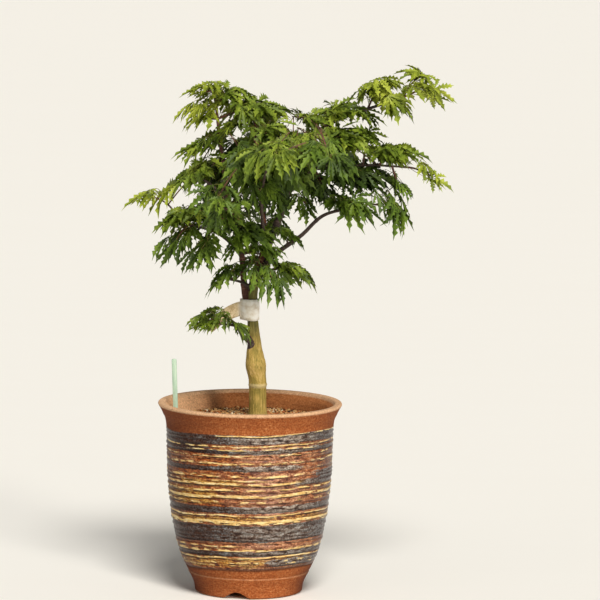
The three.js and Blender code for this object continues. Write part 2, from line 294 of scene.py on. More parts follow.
# Cream strokes: height, half width, share of the ring that they cover, heading of the middle, half spread.
# Headings on the wall are degrees round from the front towards the right.
CREAM_STROKES = [
    (137.0, 0.5, 0.75, 50, 75),
    (128.2, 0.6, 0.7, -40, 180),
    (125.4, 0.5, 0.62, 55, 100),
    (120.4, 0.7, 0.55, -60, 130),
    (114.2, 0.8, 0.6, -20, 180),
    (109.0, 0.5, 0.4, 130, 90),
    (103.8, 0.9, 0.58, -45, 85),
    (100.3, 0.6, 0.5, -60, 70),
    (97.2, 0.9, 0.85, -20, 56),
    (92.2, 0.7, 0.62, -20, 180),
    (87.0, 1.1, 0.85, 20, 180),
    (82.6, 0.8, 0.5, 0, 180),
    (71.6, 0.6, 0.8, -20, 180),
    (66.4, 1.1, 0.95, 0, 180),
    (64.6, 0.6, 0.6, 40, 120),
    (45.6, 0.6, 0.55, -70, 60),
    (42.2, 0.9, 0.66, 0, 180),
    (35.8, 0.7, 0.72, -30, 180),
    (32.0, 0.8, 0.5, -45, 110),
    (29.4, 0.6, 0.45, 30, 150),
]
# Bands of slate glaze: lowest, highest, heading of the middle, half spread.
SLATE_BANDS = [
    (129.6, 137.6, 0, 180),
    (123.0, 130.5, -75, 45),
    (121.8, 125.6, 20, 70),
    (108.0, 112.0, -25, 65),
    (115.0, 121.0, 165, 60),
    (94.4, 99, 66, 34),
    (94.4, 105.4, 88, 34),
    (96.0, 104.0, -150, 40),
    (73.4, 79.0, 0, 180),
    (49.2, 63.2, 0, 180),
    (37.0, 41.4, 20, 110),
    (27.5, 34.0, 75, 60),
    (26.0, 33.0, 190, 60),
]
SLATE_FEET = (-1.2, 1.0)  # the dark line along the foot of each band, from its lowest height
# Ochre glaze pooled between the strokes: as the slate.
OCHRE_POOLS = [
    (95.0, 101.0, -32, 28),
    (80.0, 93.5, -55, 34),
    (66.0, 71.0, 0, 180),
    (27.5, 36.0, -30, 85),
    (104.0, 118.0, 130, 60),
]
# Shades of the clay and of each glaze along its pattern: where on the pattern, and the colour there.
CLAY_SHADES = [(0.34, "7a3614"), (0.46, "a2572a"), (0.56, "ba7140"), (0.68, "d69a66")]
RUST_SHADES = [(0.39, "26100a"), (0.44, "763516"), (0.5, "b8662c"), (0.55, "d8955a"), (0.61, "f6cc9c")]
OCHRE_SHADES = [(0.36, "7a4016"), (0.46, "c08530"), (0.56, "efc566")]
SLATE_SHADES = [(0.4, "22120a"), (0.47, "5c3c28"), (0.53, "75777a"), (0.61, "aab2b2")]
CREAM_SHADES = [(0.37, "c08a42"), (0.44, "e8ba6e"), (0.51, "f9d98e"), (0.6, "ffedbc")]
# Colours that clay and glaze take on in places, some of them painted shade, painted light and painted
# highlights.
POT_TINGES = {
    "clay_clouds": "8a4624",
    "shaded_left_clay": "65301a",
    "shaded_sides_clay": "5c2a16",
    "inner_clay": "bd8350",
    "lit_inner_left_clay": "fac898",
    "worn_and_highlit_clay": "e8bd94",
    "mauve_clouds": "8a5a48",
    "highlight_rust": "deaa86",
    "brown_clouds": "4e3326",
    "shaded_left_slate": "4a2612",
    "highlight_slate": "cdc0b0",
    "slate_foot": "24140e",
    "shaded_sides_glaze": "4a2816",
    "shaded_hollows": "24130c",
    "shadow_under_strokes": "220e08",
    "glaze_edge": "3a2620",
    "iron_specks": "3a2114",
    "pits": "8c7261",
}


def smooth_step(value, low, high):
    share = np.clip((value - low) / (high - low), 0, 1)
    return share * share * (3 - 2 * share)


def curve_through(knots, step):
    """Points about a step apart along the smooth curve through the knots."""
    knots = np.array(knots, float)
    ends = np.vstack([2 * knots[0] - knots[1], knots, 2 * knots[-1] - knots[-2]])
    pieces = []
    for before, start, end, after in zip(ends, ends[1:], ends[2:], ends[3:]):
        count = max(1, round(np.linalg.norm(end - start) / step))
        t = np.linspace(0, 1, count, endpoint=False)[:, None]
        bend = 2 * before - 5 * start + 4 * end - after
        turn = 3 * start - before - 3 * end + after
        pieces.append(start + 0.5 * ((end - before) * t + bend * t**2 + turn * t**3))
    return np.vstack(pieces + [knots[-1:]])


def arc(centre_height, centre_radius, size, start, end, count=6):
    """Profile points round a quarter of a circle: angles in degrees from straight out towards up."""
    angles = np.radians(np.linspace(start, end, count))
    return np.stack([centre_height + size * np.sin(angles), centre_radius + size * np.cos(angles)], axis=1)


def lathe(profile, facets):
    """Points and faces of the closed solid swept round Z by heights and radii that start and end on it."""
    rings = profile[1:-1]
    angles = 2 * np.pi * np.arange(facets) / facets
    turn = np.stack([np.cos(angles), np.sin(angles)], axis=1)
    points = [np.column_stack([turn * radius, np.full(facets, height)]) for height, radius in rings]
    bottom, top = len(rings) * facets, len(rings) * facets + 1
    points.append([(0, 0, profile[0][0]), (0, 0, profile[-1][0])])
    faces = []
    for j in range(facets):
        k = (j + 1) % facets
        faces.append((bottom, k, j))
        faces.append((top, (len(rings) - 1) * facets + j, (len(rings) - 1) * facets + k))
        for low in range(0, (len(rings) - 1) * facets, facets):
            faces.append((low + j, low + k, low + facets + k, low + facets + j))
    return np.vstack(points), faces


def pot_profile():
    height, lip, wall = POT["height"], POT["lip_round"], POT["wall"]
    groove_rings = range(12, 41, 2)  # closely set, so that the grooves come out round
    under = [(0, radius) for radius in (0, 6, *groove_rings, POT["foot"] - 1)]
    outside = curve_through([(1, POT["foot"]), *POT_OUTSIDE, (height - lip, POT["rim"])], 0.6)
    over = arc(height - lip, POT["rim"] - lip, lip, 0, 90)
    back = arc(height - lip, POT["rim"] - wall + lip, lip, 90, 180)
    seen_inside = curve_through([(height - lip, POT["rim"] - wall), *POT_INSIDE[:2]], 0.9)
    hidden_inside = curve_through(POT_INSIDE[1:], 8)
    floor_inside = [(POT["floor"], radius) for radius in (24, 12, 0)]
    return np.vstack([under, outside, over[1:], back, seen_inside[1:], hidden_inside[1:], floor_inside])


def front_heading(points):
    """Degrees round the pot from its front towards the right."""
    return np.degrees(np.arctan2(points[:, 0], -points[:, 1]))


def band_height(points):
    """The height of a point on the wall, as the glazer's wandering bands count it."""
    turn = np.radians(front_heading(points))
    return points[:, 2] + 1.7 - 1.95 * np.cos(turn) - 1.3 * np.sin(turn) + 0.3 * np.sin(5 * turn + 0.7)


def patches(points, table, soft=1.2, ends=14):
    """How far each point lies in the patches of a table, from 0 to 1, fading at their edges."""
    heights, headings = band_height(points), front_heading(points)
    cover = np.zeros(len(points))
    for low, high, middle, spread in table:
        away = np.abs((headings - middle + 180) % 360 - 180)
        above = smooth_step(heights, low - soft, low + soft)
        below = 1 - smooth_step(heights, high - soft, high + soft)
        along = 1 - smooth_step(away, spread - ends, spread + ends) if spread < 180 else 1
        cover = np.maximum(cover, above * below * along)
    return cover


def is_outside(points):
    """Which points lie on the outer wall, by their distance from the axis."""
    out_heights, out_radii = zip((1, POT["foot"]), *POT_OUTSIDE, (POT["height"] - 1, POT["rim"]))
    in_heights, in_radii = zip(*reversed([(POT["height"], POT["rim"] - POT["wall"]), *POT_INSIDE]))
    heights = points[:, 2]
    middle = (np.interp(heights, out_heights, out_radii) + np.interp(heights, in_heights, in_radii)) / 2
    is_beyond = np.hypot(points[:, 0], points[:, 1]) > middle
    return is_beyond & (heights > 0.5) & (heights < POT["height"] - 1)


def finger_rings(points):
    """How far the thrower's rings stand out of the glazed wall at each point, from -1 to about 1.5."""
    heights, turn = band_height(points), np.radians(front_heading(points))
    wander = 0.8 * np.sin(2 * turn) + 1.9 * np.sin(2 * np.pi * heights / (4.6 * RING_SPACING))
    rings = 0.6 * np.cos(2 * np.pi * heights / RING_SPACING + wander)
    for height, half_width, *_ in CREAM_STROKES:
        rings += 0.7 * np.exp(-(((heights - height) / (half_width + 0.5)) ** 2))
    drag = [noise.noise(Vector((x * 0.12, y * 0.12, z * 0.9))) for x, y, z in points]
    low, high = GLAZED
    glazed = smooth_step(heights, low - 1, low + 2) * (1 - smooth_step(heights, high - 2, high))
    return (rings + 0.7 * np.array(drag)) * glazed


def thrown_wall(points):
    """Gives the lathe's points the thrower's rings, the ledge of the foot and a hand's unevenness."""
    radius = np.hypot(points[:, 0], points[:, 1])
    outward = points[:, :2] / np.maximum(radius, 1e-6)[:, None]
    over_ledge = points[:, 2] - POT["ledge"]
    foot = LEDGE_STEP["out"] * (1 - smooth_step(over_ledge, -0.4, 0.4))
    foot -= LEDGE_STEP["cut"] * np.exp(-(((over_ledge - LEDGE_STEP["above"]) / LEDGE_STEP["width"]) ** 2))
    rings_inside = 0.12 * np.cos(2 * np.pi * points[:, 2] / RING_SPACING)
    moved = np.where(is_outside(points), RING_DEPTH * finger_rings(points) + foot, rings_inside)
    turn = np.radians(front_heading(points))
    uneven = 0.25 * np.sin(2 * turn + 0.4) + 0.12 * np.sin(3 * turn)
    upright = (points[:, 2] > 0.5) & (radius > 30)
    new_radius = radius + np.where(upright, moved + uneven * points[:, 2] / POT["height"], 0)
    return np.column_stack([outward * new_radius[:, None], points[:, 2]])


def lift_grooves(points):
    """Raises the underside into an arch along each groove."""
    lifted = points.copy()
    reach = 2 * GROOVE["height"]  # the wall gives way up to this height
    for heading in GROOVE["headings"]:
        out = np.array([math.cos(math.radians(heading)), math.sin(math.radians(heading))])
        along = points[:, :2] @ out
        across = points[:, :2] @ np.array([-out[1], out[0]]) / (GROOVE["width"] / 2)
        arch = (0.5 + 0.5 * np.cos(np.pi * np.clip(across, -1, 1))) ** 0.7
        arch *= smooth_step(along, GROOVE["inner_end"] - 1.5, GROOVE["inner_end"] + 1.5)
        give = np.clip(1 - points[:, 2] / reach, 0, 1)
        is_under = (points[:, 2] < reach) & (along > 0)
        lifted[:, 2] += np.where(is_under, GROOVE["height"] * arch * give, 0)
    return lifted


def plain_mesh(holder, name):
    """The object's mesh with its modifiers applied, as a new object in its place."""
    evaluated = holder.evaluated_get(bpy.context.evaluated_depsgraph_get())
    mesh = bpy.data.meshes.new_from_object(evaluated)
    bpy.data.objects.remove(holder)
    mesh.name = name
    made = bpy.data.objects.new(name, mesh)
    bpy.context.scene.collection.objects.link(made)
    return made


def mesh_points(thing):
    """An object's vertices, in millimetres."""
    flat = np.zeros(len(thing.data.vertices) * 3, np.float32)
    thing.data.vertices.foreach_get("co", flat)
    return flat.reshape(-1, 3).astype(float) / MM


def store(thing, name, values, kind="FLOAT"):
    """Gives each vertex of an object a value."""
    field = {"FLOAT": "value", "INT": "value", "FLOAT_VECTOR": "vector"}[kind]
    attribute = thing.data.attributes.new(name, kind, "POINT")
    number = np.int32 if kind == "INT" else np.float32
    attribute.data.foreach_set(field, np.asarray(values, number).ravel())


def wall_patterns(graph):
    """The places and patterns on the pot that its clay and its glazes share, and masks for painted shade and
    a painted highlight.
    """
    place, outer = graph.place(), graph.attribute("outer")
    x, y, level = [graph.part(place, axis) for axis in "XYZ"]
    heading = graph.node("ShaderNodeMath", {"operation": "ARCTAN2"}, {0: x, 1: 0 - y}) * math.degrees(1)
    cloud = graph.noise(place * (0.045, 0.045, 0.06), detail=3, seed=3)
    uneven_heading = heading + (cloud - 0.5) * 40
    return SimpleNamespace(
        place=place,
        x=x,
        level=level,
        heading=heading,
        outer=outer,
        height=graph.attribute("band_height"),
        streak=graph.noise(place * (0.05, 0.05, 0.75), detail=6, seed=1),
        fine_streak=graph.noise(place * (0.2, 0.2, 1.6), detail=5, roughness=0.65, seed=2),
        blotch=graph.noise(place * (0.14, 0.14, 0.5), detail=5, roughness=0.62, seed=8),
        grit=graph.noise(place * (0.7, 0.7, 0.7), detail=4, roughness=0.75, seed=4),
        cloud=cloud,
        # Painted shade: the outer wall darkens towards the left.
        painted_shade_left=graph.step(x + (cloud - 0.5) * 36, -5, -56) * outer,
        # Painted shade: the outer wall darkens towards its sides.
        sides=graph.step(abs(heading), 35, 80) * outer,
        # Painted highlight: a broad pale patch a little right of the front.
        painted_highlight=graph.step(uneven_heading, -24, 12) * graph.step(uneven_heading, 64, 30),
    )


def tinged(graph, colour, share, tinge):
    """A colour with a share of one of the pot's tinges in it."""
    return graph.mix(share, colour, paint(POT_TINGES[tinge]))


def bare_clay(graph, wall):
    """Coarse red clay, paler inside, with painted shade on the left and at the sides, painted light on the
    inner wall at the left, a lip pale from wear and painted highlight, and a painted highlight along the
    ledge.
    """
    clay = graph.shades(wall.grit * 0.7 + wall.fine_streak * 0.3, *CLAY_SHADES)
    clay = tinged(graph, clay, graph.step(wall.cloud, 0.4, 0.7) * 0.3, "clay_clouds")
    # Painted shade on the left of the outer wall.
    clay = tinged(graph, clay, wall.painted_shade_left * 0.55, "shaded_left_clay")
    # Painted shade towards the sides, deepest near the foot.
    clay = tinged(graph, clay, wall.sides * (0.35 + graph.step(wall.level, 32, 20) * 0.45), "shaded_sides_clay")
    inside = 1 - wall.outer
    clay = tinged(graph, clay, inside * 0.4, "inner_clay")
    # Painted light on the inner wall at the left.
    clay = tinged(graph, clay, inside * graph.step(wall.x, -16, -56) * 0.85, "lit_inner_left_clay")
    # The pale lip is partly wear and partly painted highlight; the pale line on the ledge is painted
    # highlight.
    on_lip = graph.step(wall.level + (wall.grit - 0.5) * 1.5, POT["height"] - 3.2, POT["height"] - 1.6)
    on_ledge = graph.step(abs(wall.level + (wall.grit - 0.5) - POT["ledge"]), 1.0, 0.3) * wall.outer
    return tinged(graph, clay, on_lip.most(on_ledge * 0.22) * 0.85, "worn_and_highlit_clay")


def rust_glaze(graph, wall):
    """The red-brown ground of the glaze, with pools of ochre in it and a painted highlight a little right of
    the front.
    """
    rust = graph.shades(wall.blotch * 0.55 + wall.fine_streak * 0.3 + wall.streak * 0.15, *RUST_SHADES)
    rust = tinged(graph, rust, graph.step(wall.cloud, 0.44, 0.6) * 0.45, "mauve_clouds")
    # Painted highlight a little right of the front.
    rust = tinged(graph, rust, wall.painted_highlight * graph.step(wall.blotch, 0.38, 0.56) * 0.6, "highlight_rust")
    ochre_cover = graph.step(graph.attribute("ochre") + (wall.blotch - 0.5) * 4, 0.6, 1.0)
    return graph.mix(ochre_cover * 0.8, rust, graph.shades(wall.fine_streak, *OCHRE_SHADES))


def slate_glaze(graph, wall):
    """Slate glaze, darkened and browned on the left by painted shade, with a painted highlight a little right
    of the front and dark along the foot of each band.
    """
    slate = graph.shades(wall.grit * 0.45 + wall.blotch * 0.55, *SLATE_SHADES)
    slate = tinged(graph, slate, graph.step(wall.cloud, 0.44, 0.6) * 0.4, "brown_clouds")
    # Painted shade on the left.
    slate = tinged(graph, slate, wall.painted_shade_left * 0.75, "shaded_left_slate")
    # Painted highlight a little right of the front, strongest on the highest bands.
    pale = wall.painted_highlight * (0.45 + graph.step(wall.height, 60, 74) * 0.55)
    slate = tinged(graph, slate, pale * graph.step(wall.blotch, 0.38, 0.54) * 0.85, "highlight_slate")
    return tinged(graph, slate, graph.attribute("slate_foot") * 0.7, "slate_foot")


def cream_strokes(graph, wall):
    """How far each point lies in a stroke of cream slip, and how far in the painted shadow line under one."""
    wander = graph.noise(wall.place * (0.035, 0.035, 0.05), detail=1, seed=9)
    broken = graph.noise(wall.place * (0.1, 0.1, 0.45), detail=5, roughness=0.65, seed=5)
    height = wall.height + (wall.fine_streak - 0.5) + (wander - 0.5) * 3.0
    strokes, lines = [], []
    for at, half_width, share, middle, spread in CREAM_STROKES:
        kept = graph.step(broken, 0.33 + 0.31 * share, 0.31 + 0.31 * share)
        if spread < 180:
            wrap = {"operation": "WRAP"}
            away = abs(graph.node("ShaderNodeMath", wrap, {0: wall.heading - middle, 1: 180.0, 2: -180.0}))
            kept = kept * graph.step(away, spread + 8, spread - 8)
        # A painted shadow line runs just under each stroke.
        under = at - half_width - 0.5
        strokes.append(graph.step(abs(height - at), 1.15 * half_width, 0.85 * half_width) * kept)
        lines.append(graph.step(abs(height - under), 0.75, 0.2) * kept)
    return functools.reduce(Value.most, strokes), functools.reduce(Value.most, lines)


def stoneware():
    material, graph = new_material("stoneware")
    wall = wall_patterns(graph)
    slate_edge = (wall.blotch - 0.5) * 1.8 + (wall.fine_streak - 0.5)
    slate_cover = graph.step(graph.attribute("slate") + slate_edge, 0.42, 0.62)
    glaze = graph.mix(slate_cover, rust_glaze(graph, wall), slate_glaze(graph, wall))
    # Painted shade towards the sides of the glaze.
    glaze = tinged(graph, glaze, wall.sides * 0.55, "shaded_sides_glaze")
    # Painted shade in the hollows between the thrower's rings.
    hollow_shade = graph.step(graph.attribute("ring") + (wall.fine_streak - 0.5) * 0.5, 0.0, -0.3)
    glaze = tinged(graph, glaze, hollow_shade * 0.42, "shaded_hollows")
    cream_cover, stroke_shadow_cover = cream_strokes(graph, wall)
    # Painted shadow under each cream stroke.
    glaze = tinged(graph, glaze, stroke_shadow_cover * 0.85, "shadow_under_strokes")
    cream = graph.shades(wall.fine_streak * 0.5 + wall.blotch * 0.5, *CREAM_SHADES)
    glaze = graph.mix(cream_cover, glaze, cream)

    ragged = wall.height + (wall.streak - 0.5) * 1.5
    low, high = GLAZED
    above, below = graph.step(ragged, low - 0.3, low + 0.3), graph.step(ragged, high + 0.3, high - 0.3)
    glazed = wall.outer * above * below
    colour = graph.mix(glazed, bare_clay(graph, wall), glaze)
    colour = tinged(graph, colour, graph.step(abs(ragged - low), 2.4, 0.6) * wall.outer * 0.7, "glaze_edge")
    specks = graph.step(graph.noise(wall.place * (0.8, 0.8, 0.8), detail=1, seed=6), 0.68, 0.74)
    colour = tinged(graph, colour, specks * 0.6, "iron_specks")
    grain = graph.noise(wall.place * (0.62, 0.62, 0.9), detail=3, roughness=0.8, seed=10)
    pitted = (1 - graph.step(grain, 0.36, 0.64)) * (0.45 + glazed * 0.55 - cream_cover * glazed * 0.6)
    colour = graph.mix(pitted, colour, paint(POT_TINGES["pits"]), blend="MULTIPLY")
    relief = graph.relief(wall.grit * 0.35 + wall.fine_streak * glazed * 0.25 + cream_cover * 0.3, 0.9)
    graph.surface(
        Base_Color=colour,
        Roughness=0.82 - glazed * (0.46 + slate_cover * 0.08) + (wall.grit - 0.5) * 0.45,
        Specular_IOR_Level=0.14,
        Coat_Weight=glazed * (1 - wall.painted_shade_left) * 0.32,
        Coat_Roughness=0.3,
        Normal=relief,
    )
    return material


def drill(blank):
    """Cuts the drain holes through the floor."""
    cutter_mesh = bpy.data.meshes.new("drill")
    build = bmesh.new()
    for heading in GROOVE["headings"]:
        x = DRAIN["offset"] * math.cos(math.radians(heading))
        y = DRAIN["offset"] * math.sin(math.radians(heading))
        bmesh.ops.create_cone(
            build,
            cap_ends=True,
            segments=32,
            radius1=DRAIN["radius"] * MM,
            radius2=DRAIN["radius"] * MM,
            depth=4 * POT["floor"] * MM,
            matrix=Matrix.Translation(Vector((x, y, 0)) * MM),
        )
    build.to_mesh(cutter_mesh)
    build.free()
    cutter = bpy.data.objects.new("drill", cutter_mesh)
    bpy.context.scene.collection.objects.link(cutter)
    cut = blank.modifiers.new("drains", "BOOLEAN")
    cut.operation = "DIFFERENCE"
    cut.solver = "MANIFOLD"
    cut.object = cutter
    drilled = plain_mesh(blank, "stoneware_pot")
    bpy.data.objects.remove(cutter)
    return drilled


pot_points, pot_faces = lathe(pot_profile(), POT["facets"])
pot_points = lift_grooves(thrown_wall(pot_points))
pot = drill(new_object("pot_blank", pot_points, pot_faces, material=stoneware()))
wall_points = mesh_points(pot)
store(pot, "band_height", band_height(wall_points))
store(pot, "outer", is_outside(wall_points))
store(pot, "ring", finger_rings(wall_points))
store(pot, "slate", patches(wall_points, SLATE_BANDS))
slate_feet = [(low + SLATE_FEET[0], low + SLATE_FEET[1], *where) for low, _, *where in SLATE_BANDS]
store(pot, "slate_foot", patches(wall_points, slate_feet, soft=0.8))
store(pot, "ochre", patches(wall_points, OCHRE_POOLS))
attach(pot, "root")
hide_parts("pot")

# ---- Soil ----------------------------------------------------------------------------------------------
# A free-draining mix for container trees: broken grains of baked clay, pumice and dark lava, two to five
# millimetres across, loose on a bed of the same stuff ground finer.

SOIL = {"level": 143, "edge_fall": 1.6, "clearance": 0.3, "facets": 120}
# Each kind of grain: its shades, how many lie on a square centimetre, and the range of their radii.
GRAINS = {
    "tan": {"shades": ("966638", "dcae74"), "density": 5.4, "radii": (0.9, 2.4), "seed": 11},
    "rust": {"shades": ("804420", "bd7440"), "density": 3.8, "radii": (0.8, 2.3), "seed": 12},
    "pale": {"shades": ("ceb084", "f0dfbc"), "density": 1.2, "radii": (0.8, 2.1), "seed": 13},
    "dark": {"shades": ("22140d", "4a3222"), "density": 4.8, "radii": (0.7, 1.8), "seed": 14},
}
GRAIN_SHAPES = {"count": 9, "corners": 15, "seed": 5}
GRAIN_RING = (8.6, 60.6)  # radii round the pot's axis between which grains lie


def soil_bed():
    """The bed's points and faces, its top sunk a little towards the wall and uneven all over."""
    level, gap = SOIL["level"], SOIL["clearance"]
    wall = [(height, radius - gap) for height, radius in reversed(POT_INSIDE) if height < level]
    top_radii = np.linspace(wall[-1][1] + 1.2, 2, 32)
    fall = SOIL["edge_fall"] * smooth_step(top_radii, 16, top_radii[0])
    top = [(level - drop, radius) for drop, radius in zip(fall, top_radii)]
    points, faces = lathe(np.array([(POT["floor"] + gap, 0), *wall, *top, (level, 0)]), SOIL["facets"])
    for point in points:
        if point[2] > level - 2 * SOIL["edge_fall"]:
            point[2] += 0.5 * noise.noise(Vector(point * 0.5)) - 0.4
    return points, faces


def soil_material(name, dark, light, scale):
    material, graph = new_material(name)
    place = graph.place()
    grain = graph.noise(place * (scale, scale, scale), detail=5, roughness=0.65)
    patch = graph.noise(place * (0.3, 0.3, 0.3), detail=2, seed=7)
    colour = graph.shades(grain * 0.45 + patch * 0.55, (0.34, dark), (0.66, light))
    normal = graph.relief(grain * 0.35)
    graph.surface(Base_Color=colour, Roughness=0.92, Specular_IOR_Level=0.25, Normal=normal)
    return material


def new_tree(name, inputs):
    """A geometry tree with named inputs, and what its inputs give out."""
    tree = bpy.data.node_groups.new(name, "GeometryNodeTree")
    tree.interface.new_socket("Geometry", in_out="OUTPUT", socket_type="NodeSocketGeometry")
    for label, kind in {"Geometry": "Geometry", **inputs}.items():
        tree.interface.new_socket(label, in_out="INPUT", socket_type="NodeSocket" + kind)
    graph = Graph(tree)
    entry = tree.nodes.new("NodeGroupInput")
    return graph, {s.name: Value(graph, s) for s in entry.outputs if s.name}


def end_tree(graph, geometry, stuff):
    """Ends a geometry tree: instances made real and given their material."""
    real = graph.node("GeometryNodeRealizeInstances", {}, {"Geometry": geometry})
    done = graph.node("GeometryNodeSetMaterial", {}, {"Geometry": real, "Material": stuff})
    graph.node("NodeGroupOutput", {}, {"Geometry": done})


def run_tree(holder, name, graph, inputs):
    """Runs a geometry tree on an object and leaves its result as a plain mesh object."""
    modifier = holder.modifiers.new(name, "NODES")
    modifier.node_group = graph.tree
    for item in graph.tree.interface.items_tree:
        if item.in_out == "INPUT" and item.name in inputs:
            modifier[item.identifier] = inputs[item.name]
    return plain_mesh(holder, name)


def grain_tree():
    """Scatters instances of the grains in a collection over a surface, turned and sized by chance."""
    kinds = {"Grains": "Collection", "Density": "Float", "Smallest": "Float", "Largest": "Float"}
    graph, given = new_tree("scatter_grains", {**kinds, "Seed": "Int", "Stuff": "Material"})
    spots = graph.node(
        "GeometryNodeDistributePointsOnFaces",
        {"distribute_method": "RANDOM"},
        {"Mesh": given["Geometry"], "Density": given["Density"], "Seed": given["Seed"]},
        out="Points",
    )
    turn = graph.node(
        "FunctionNodeRandomValue",
        {"data_type": "FLOAT_VECTOR"},
        {"Min": (0, 0, 0), "Max": (2 * math.pi, 2 * math.pi, 2 * math.pi), "Seed": given["Seed"]},
    )
    size = graph.node(
        "FunctionNodeRandomValue",
        {"data_type": "FLOAT"},
        {"Min": given["Smallest"], "Max": given["Largest"], "Seed": given["Seed"]},
    )
    grains = graph.node(
        "GeometryNodeCollectionInfo", {}, {"Collection": given["Grains"], "Separate Children": True}
    )
    scattered = graph.node(
        "GeometryNodeInstanceOnPoints",
        {},
        {"Points": spots, "Instance": grains, "Pick Instance": True, "Rotation": turn, "Scale": size},
    )
    end_tree(graph, scattered, given["Stuff"])
    return graph


def new_collection(name):
    collection = bpy.data.collections.new(name)
    bpy.context.scene.collection.children.link(collection)
    return collection


def move_to(collection, thing):
    bpy.context.scene.collection.objects.unlink(thing)
    collection.objects.link(thing)


def empty_collection(collection):
    for thing in list(collection.objects):
        bpy.data.objects.remove(thing)
    bpy.data.collections.remove(collection)


def grain_shapes():
    """A collection of broken grains, a millimetre in radius: the hulls of a few random points each."""
    rng = np.random.default_rng(GRAIN_SHAPES["seed"])
    shapes = new_collection("grain_shapes")
    for number in range(GRAIN_SHAPES["count"]):
        build = bmesh.new()
        for _ in range(GRAIN_SHAPES["corners"]):
            point = rng.normal(size=3)
            point *= rng.uniform(0.8, 1.1, 3) * MM / np.linalg.norm(point)
            build.verts.new(point * (1, 0.85, 0.75))
        hull = bmesh.ops.convex_hull(build, input=build.verts)
        bmesh.ops.delete(build, geom=list(set(hull["geom_interior"])), context="VERTS")
        mesh = bpy.data.meshes.new(f"grain_{number:02d}")
        build.to_mesh(mesh)
        build.free()
        shapes.objects.link(bpy.data.objects.new(mesh.name, mesh))
    return shapes


def ring_of_ground(inner, outer, height, fall, steps=12, facets=60):
    """An open ring of surface for grains to lie on."""
    points, faces = [], []
    for i, radius in enumerate(np.linspace(inner, outer, steps)):
        drop = fall * smooth_step(radius, 16, outer)
        for j in range(facets):
            turn = 2 * math.pi * j / facets
            points.append((radius * math.cos(turn), radius * math.sin(turn), height - drop))
            if i:
                k = (j + 1) % facets
                row, last = i * facets, (i - 1) * facets
                faces.append((last + j, row + j, row + k, last + k))
    return points, faces


bed_points, bed_faces = soil_bed()
fine_soil = soil_material("fine_soil", "24170f", "6b4426", 0.9)
bed = new_object("soil_bed", bed_points, bed_faces, material=fine_soil)
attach(bed, "root")
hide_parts("soil")

grains = grain_shapes()
scatter = grain_tree()
for name, grain in GRAINS.items():
    ground = new_object("ground", *ring_of_ground(*GRAIN_RING, SOIL["level"] - 0.2, SOIL["edge_fall"]))
    stuff = soil_material(f"grain_{name}", *grain["shades"], 1.4)
    smallest, largest = grain["radii"]
    settings = {
        "Grains": grains,
        "Density": grain["density"] * 1e4,  # for each square metre
        "Smallest": smallest,
        "Largest": largest,
        "Seed": grain["seed"],
        "Stuff": stuff,
    }
    loose = run_tree(ground, f"soil_grains_{name}", scatter, settings)
    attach(loose, "root")
empty_collection(grains)

# ---- Plant marker --------------------------------------------------------------------------------------
# A slim slip of pale green plastic, stamped from sheet with rounded corners and pushed into the soil by the
# left wall.

MARKER = {
    "foot": (-59.6, -1.5),
    "head": (-62.2, -1.5),
    "bottom": 119,
    "top": 190,
    "width": 3.9,
    "thick": 1.1,
    "corner": 0.9,
    "point": 6,
    "turn": 14,
}


def marker_slip():
    """The slip: its outline with rounded top corners and a blunt point, given its thickness."""
    half, corner = MARKER["width"] / 2, MARKER["corner"]
    point = MARKER["point"]
    outline = [(-half, point), (-half * 0.3, 0), (half * 0.3, 0), (half, point)]
    top = MARKER["top"] - MARKER["bottom"] - corner
    for x, start in ((half - corner, 0), (corner - half, 90)):
        for angle in np.radians(np.linspace(start, start + 90, 5)):
            outline.append((x + corner * math.cos(angle), top + corner * math.sin(angle)))
    count, thick = len(outline), MARKER["thick"] / 2
    points = [(x, depth, z) for depth in (-thick, thick) for x, z in outline]
    faces = [tuple(range(count)), tuple(reversed(range(count, 2 * count)))]
    faces += [(i, i + count, (i + 1) % count + count, (i + 1) % count) for i in range(count)]
    turn = Matrix.Rotation(math.radians(MARKER["turn"]), 3, "Z")
    foot = Vector((*MARKER["foot"], MARKER["bottom"]))
    lean = (Vector((*MARKER["head"], MARKER["top"])) - foot) / (MARKER["top"] - MARKER["bottom"])
    return [tuple(turn @ Vector((x, y, 0)) + foot + lean * z) for x, y, z in points], faces


def marker_plastic():
    material, graph = new_material("marker_plastic")
    place = graph.place()
    haze = graph.noise(place * (0.5, 0.5, 0.12), detail=3)
    scuff = graph.noise(place * (3, 3, 0.6), detail=2, seed=4)
    colour = graph.shades(haze * 0.8 + scuff * 0.2, (0.3, "93b09a"), (0.55, "a9c2a8"), (0.75, "c2d2ba"))
    height = graph.part(place, "Z")
    splash = graph.step(height + haze * 8, SOIL["level"] + 13, SOIL["level"] + 4) * 0.5
    colour = graph.mix(splash, colour, paint("8a7a55"))
    graph.surface(Base_Color=colour, Roughness=0.34 + scuff * 0.2, Normal=graph.relief(scuff * 0.06))
    return material


marker = new_object("plant_marker_slip", *marker_slip(), material=marker_plastic())
soften = marker.modifiers.new("edges", "BEVEL")
soften.width = 0.16 * MM
soften.segments = 2
soften.limit_method = "ANGLE"
marker = plain_mesh(marker, "plant_marker_slip")
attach(marker, "root")
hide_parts("plant_marker")

# ---- Trunk, stems and boughs ---------------------------------------------------------------------------
# The wood of a young maple: an olive trunk with fine upright grain, a ring, and the swelling where it was
# grafted, forking into three thin stems and their boughs, each with a collar where it leaves its parent.

# Trunk from the soil up: height, centre x, centre y, radius.
TRUNK = [
    (141.5, 6.2, 0, 9.4),
    (144.5, 6.2, 0, 8.1),
    (148, 6.1, 0, 7.3),
    (158, 6, 0, 7),
    (166.5, 5.9, 0, 7.1),
    (169, 5.9, 0, 7.6),
    (171.5, 5.8, 0, 7.2),
    (177, 5.2, 0, 7.4),
    (186, 4.1, 0, 8.3),
    (194, 3.4, 0, 7),
    (203, 2.8, 0, 5.6),
    (216, 1.9, 0, 4.7),
    (230, 1, 0, 4.3),
    (243, 1, 0, 4.2),
    (254, 2.4, 0, 4.1),
    (264, 4.2, 0, 3.7),
]
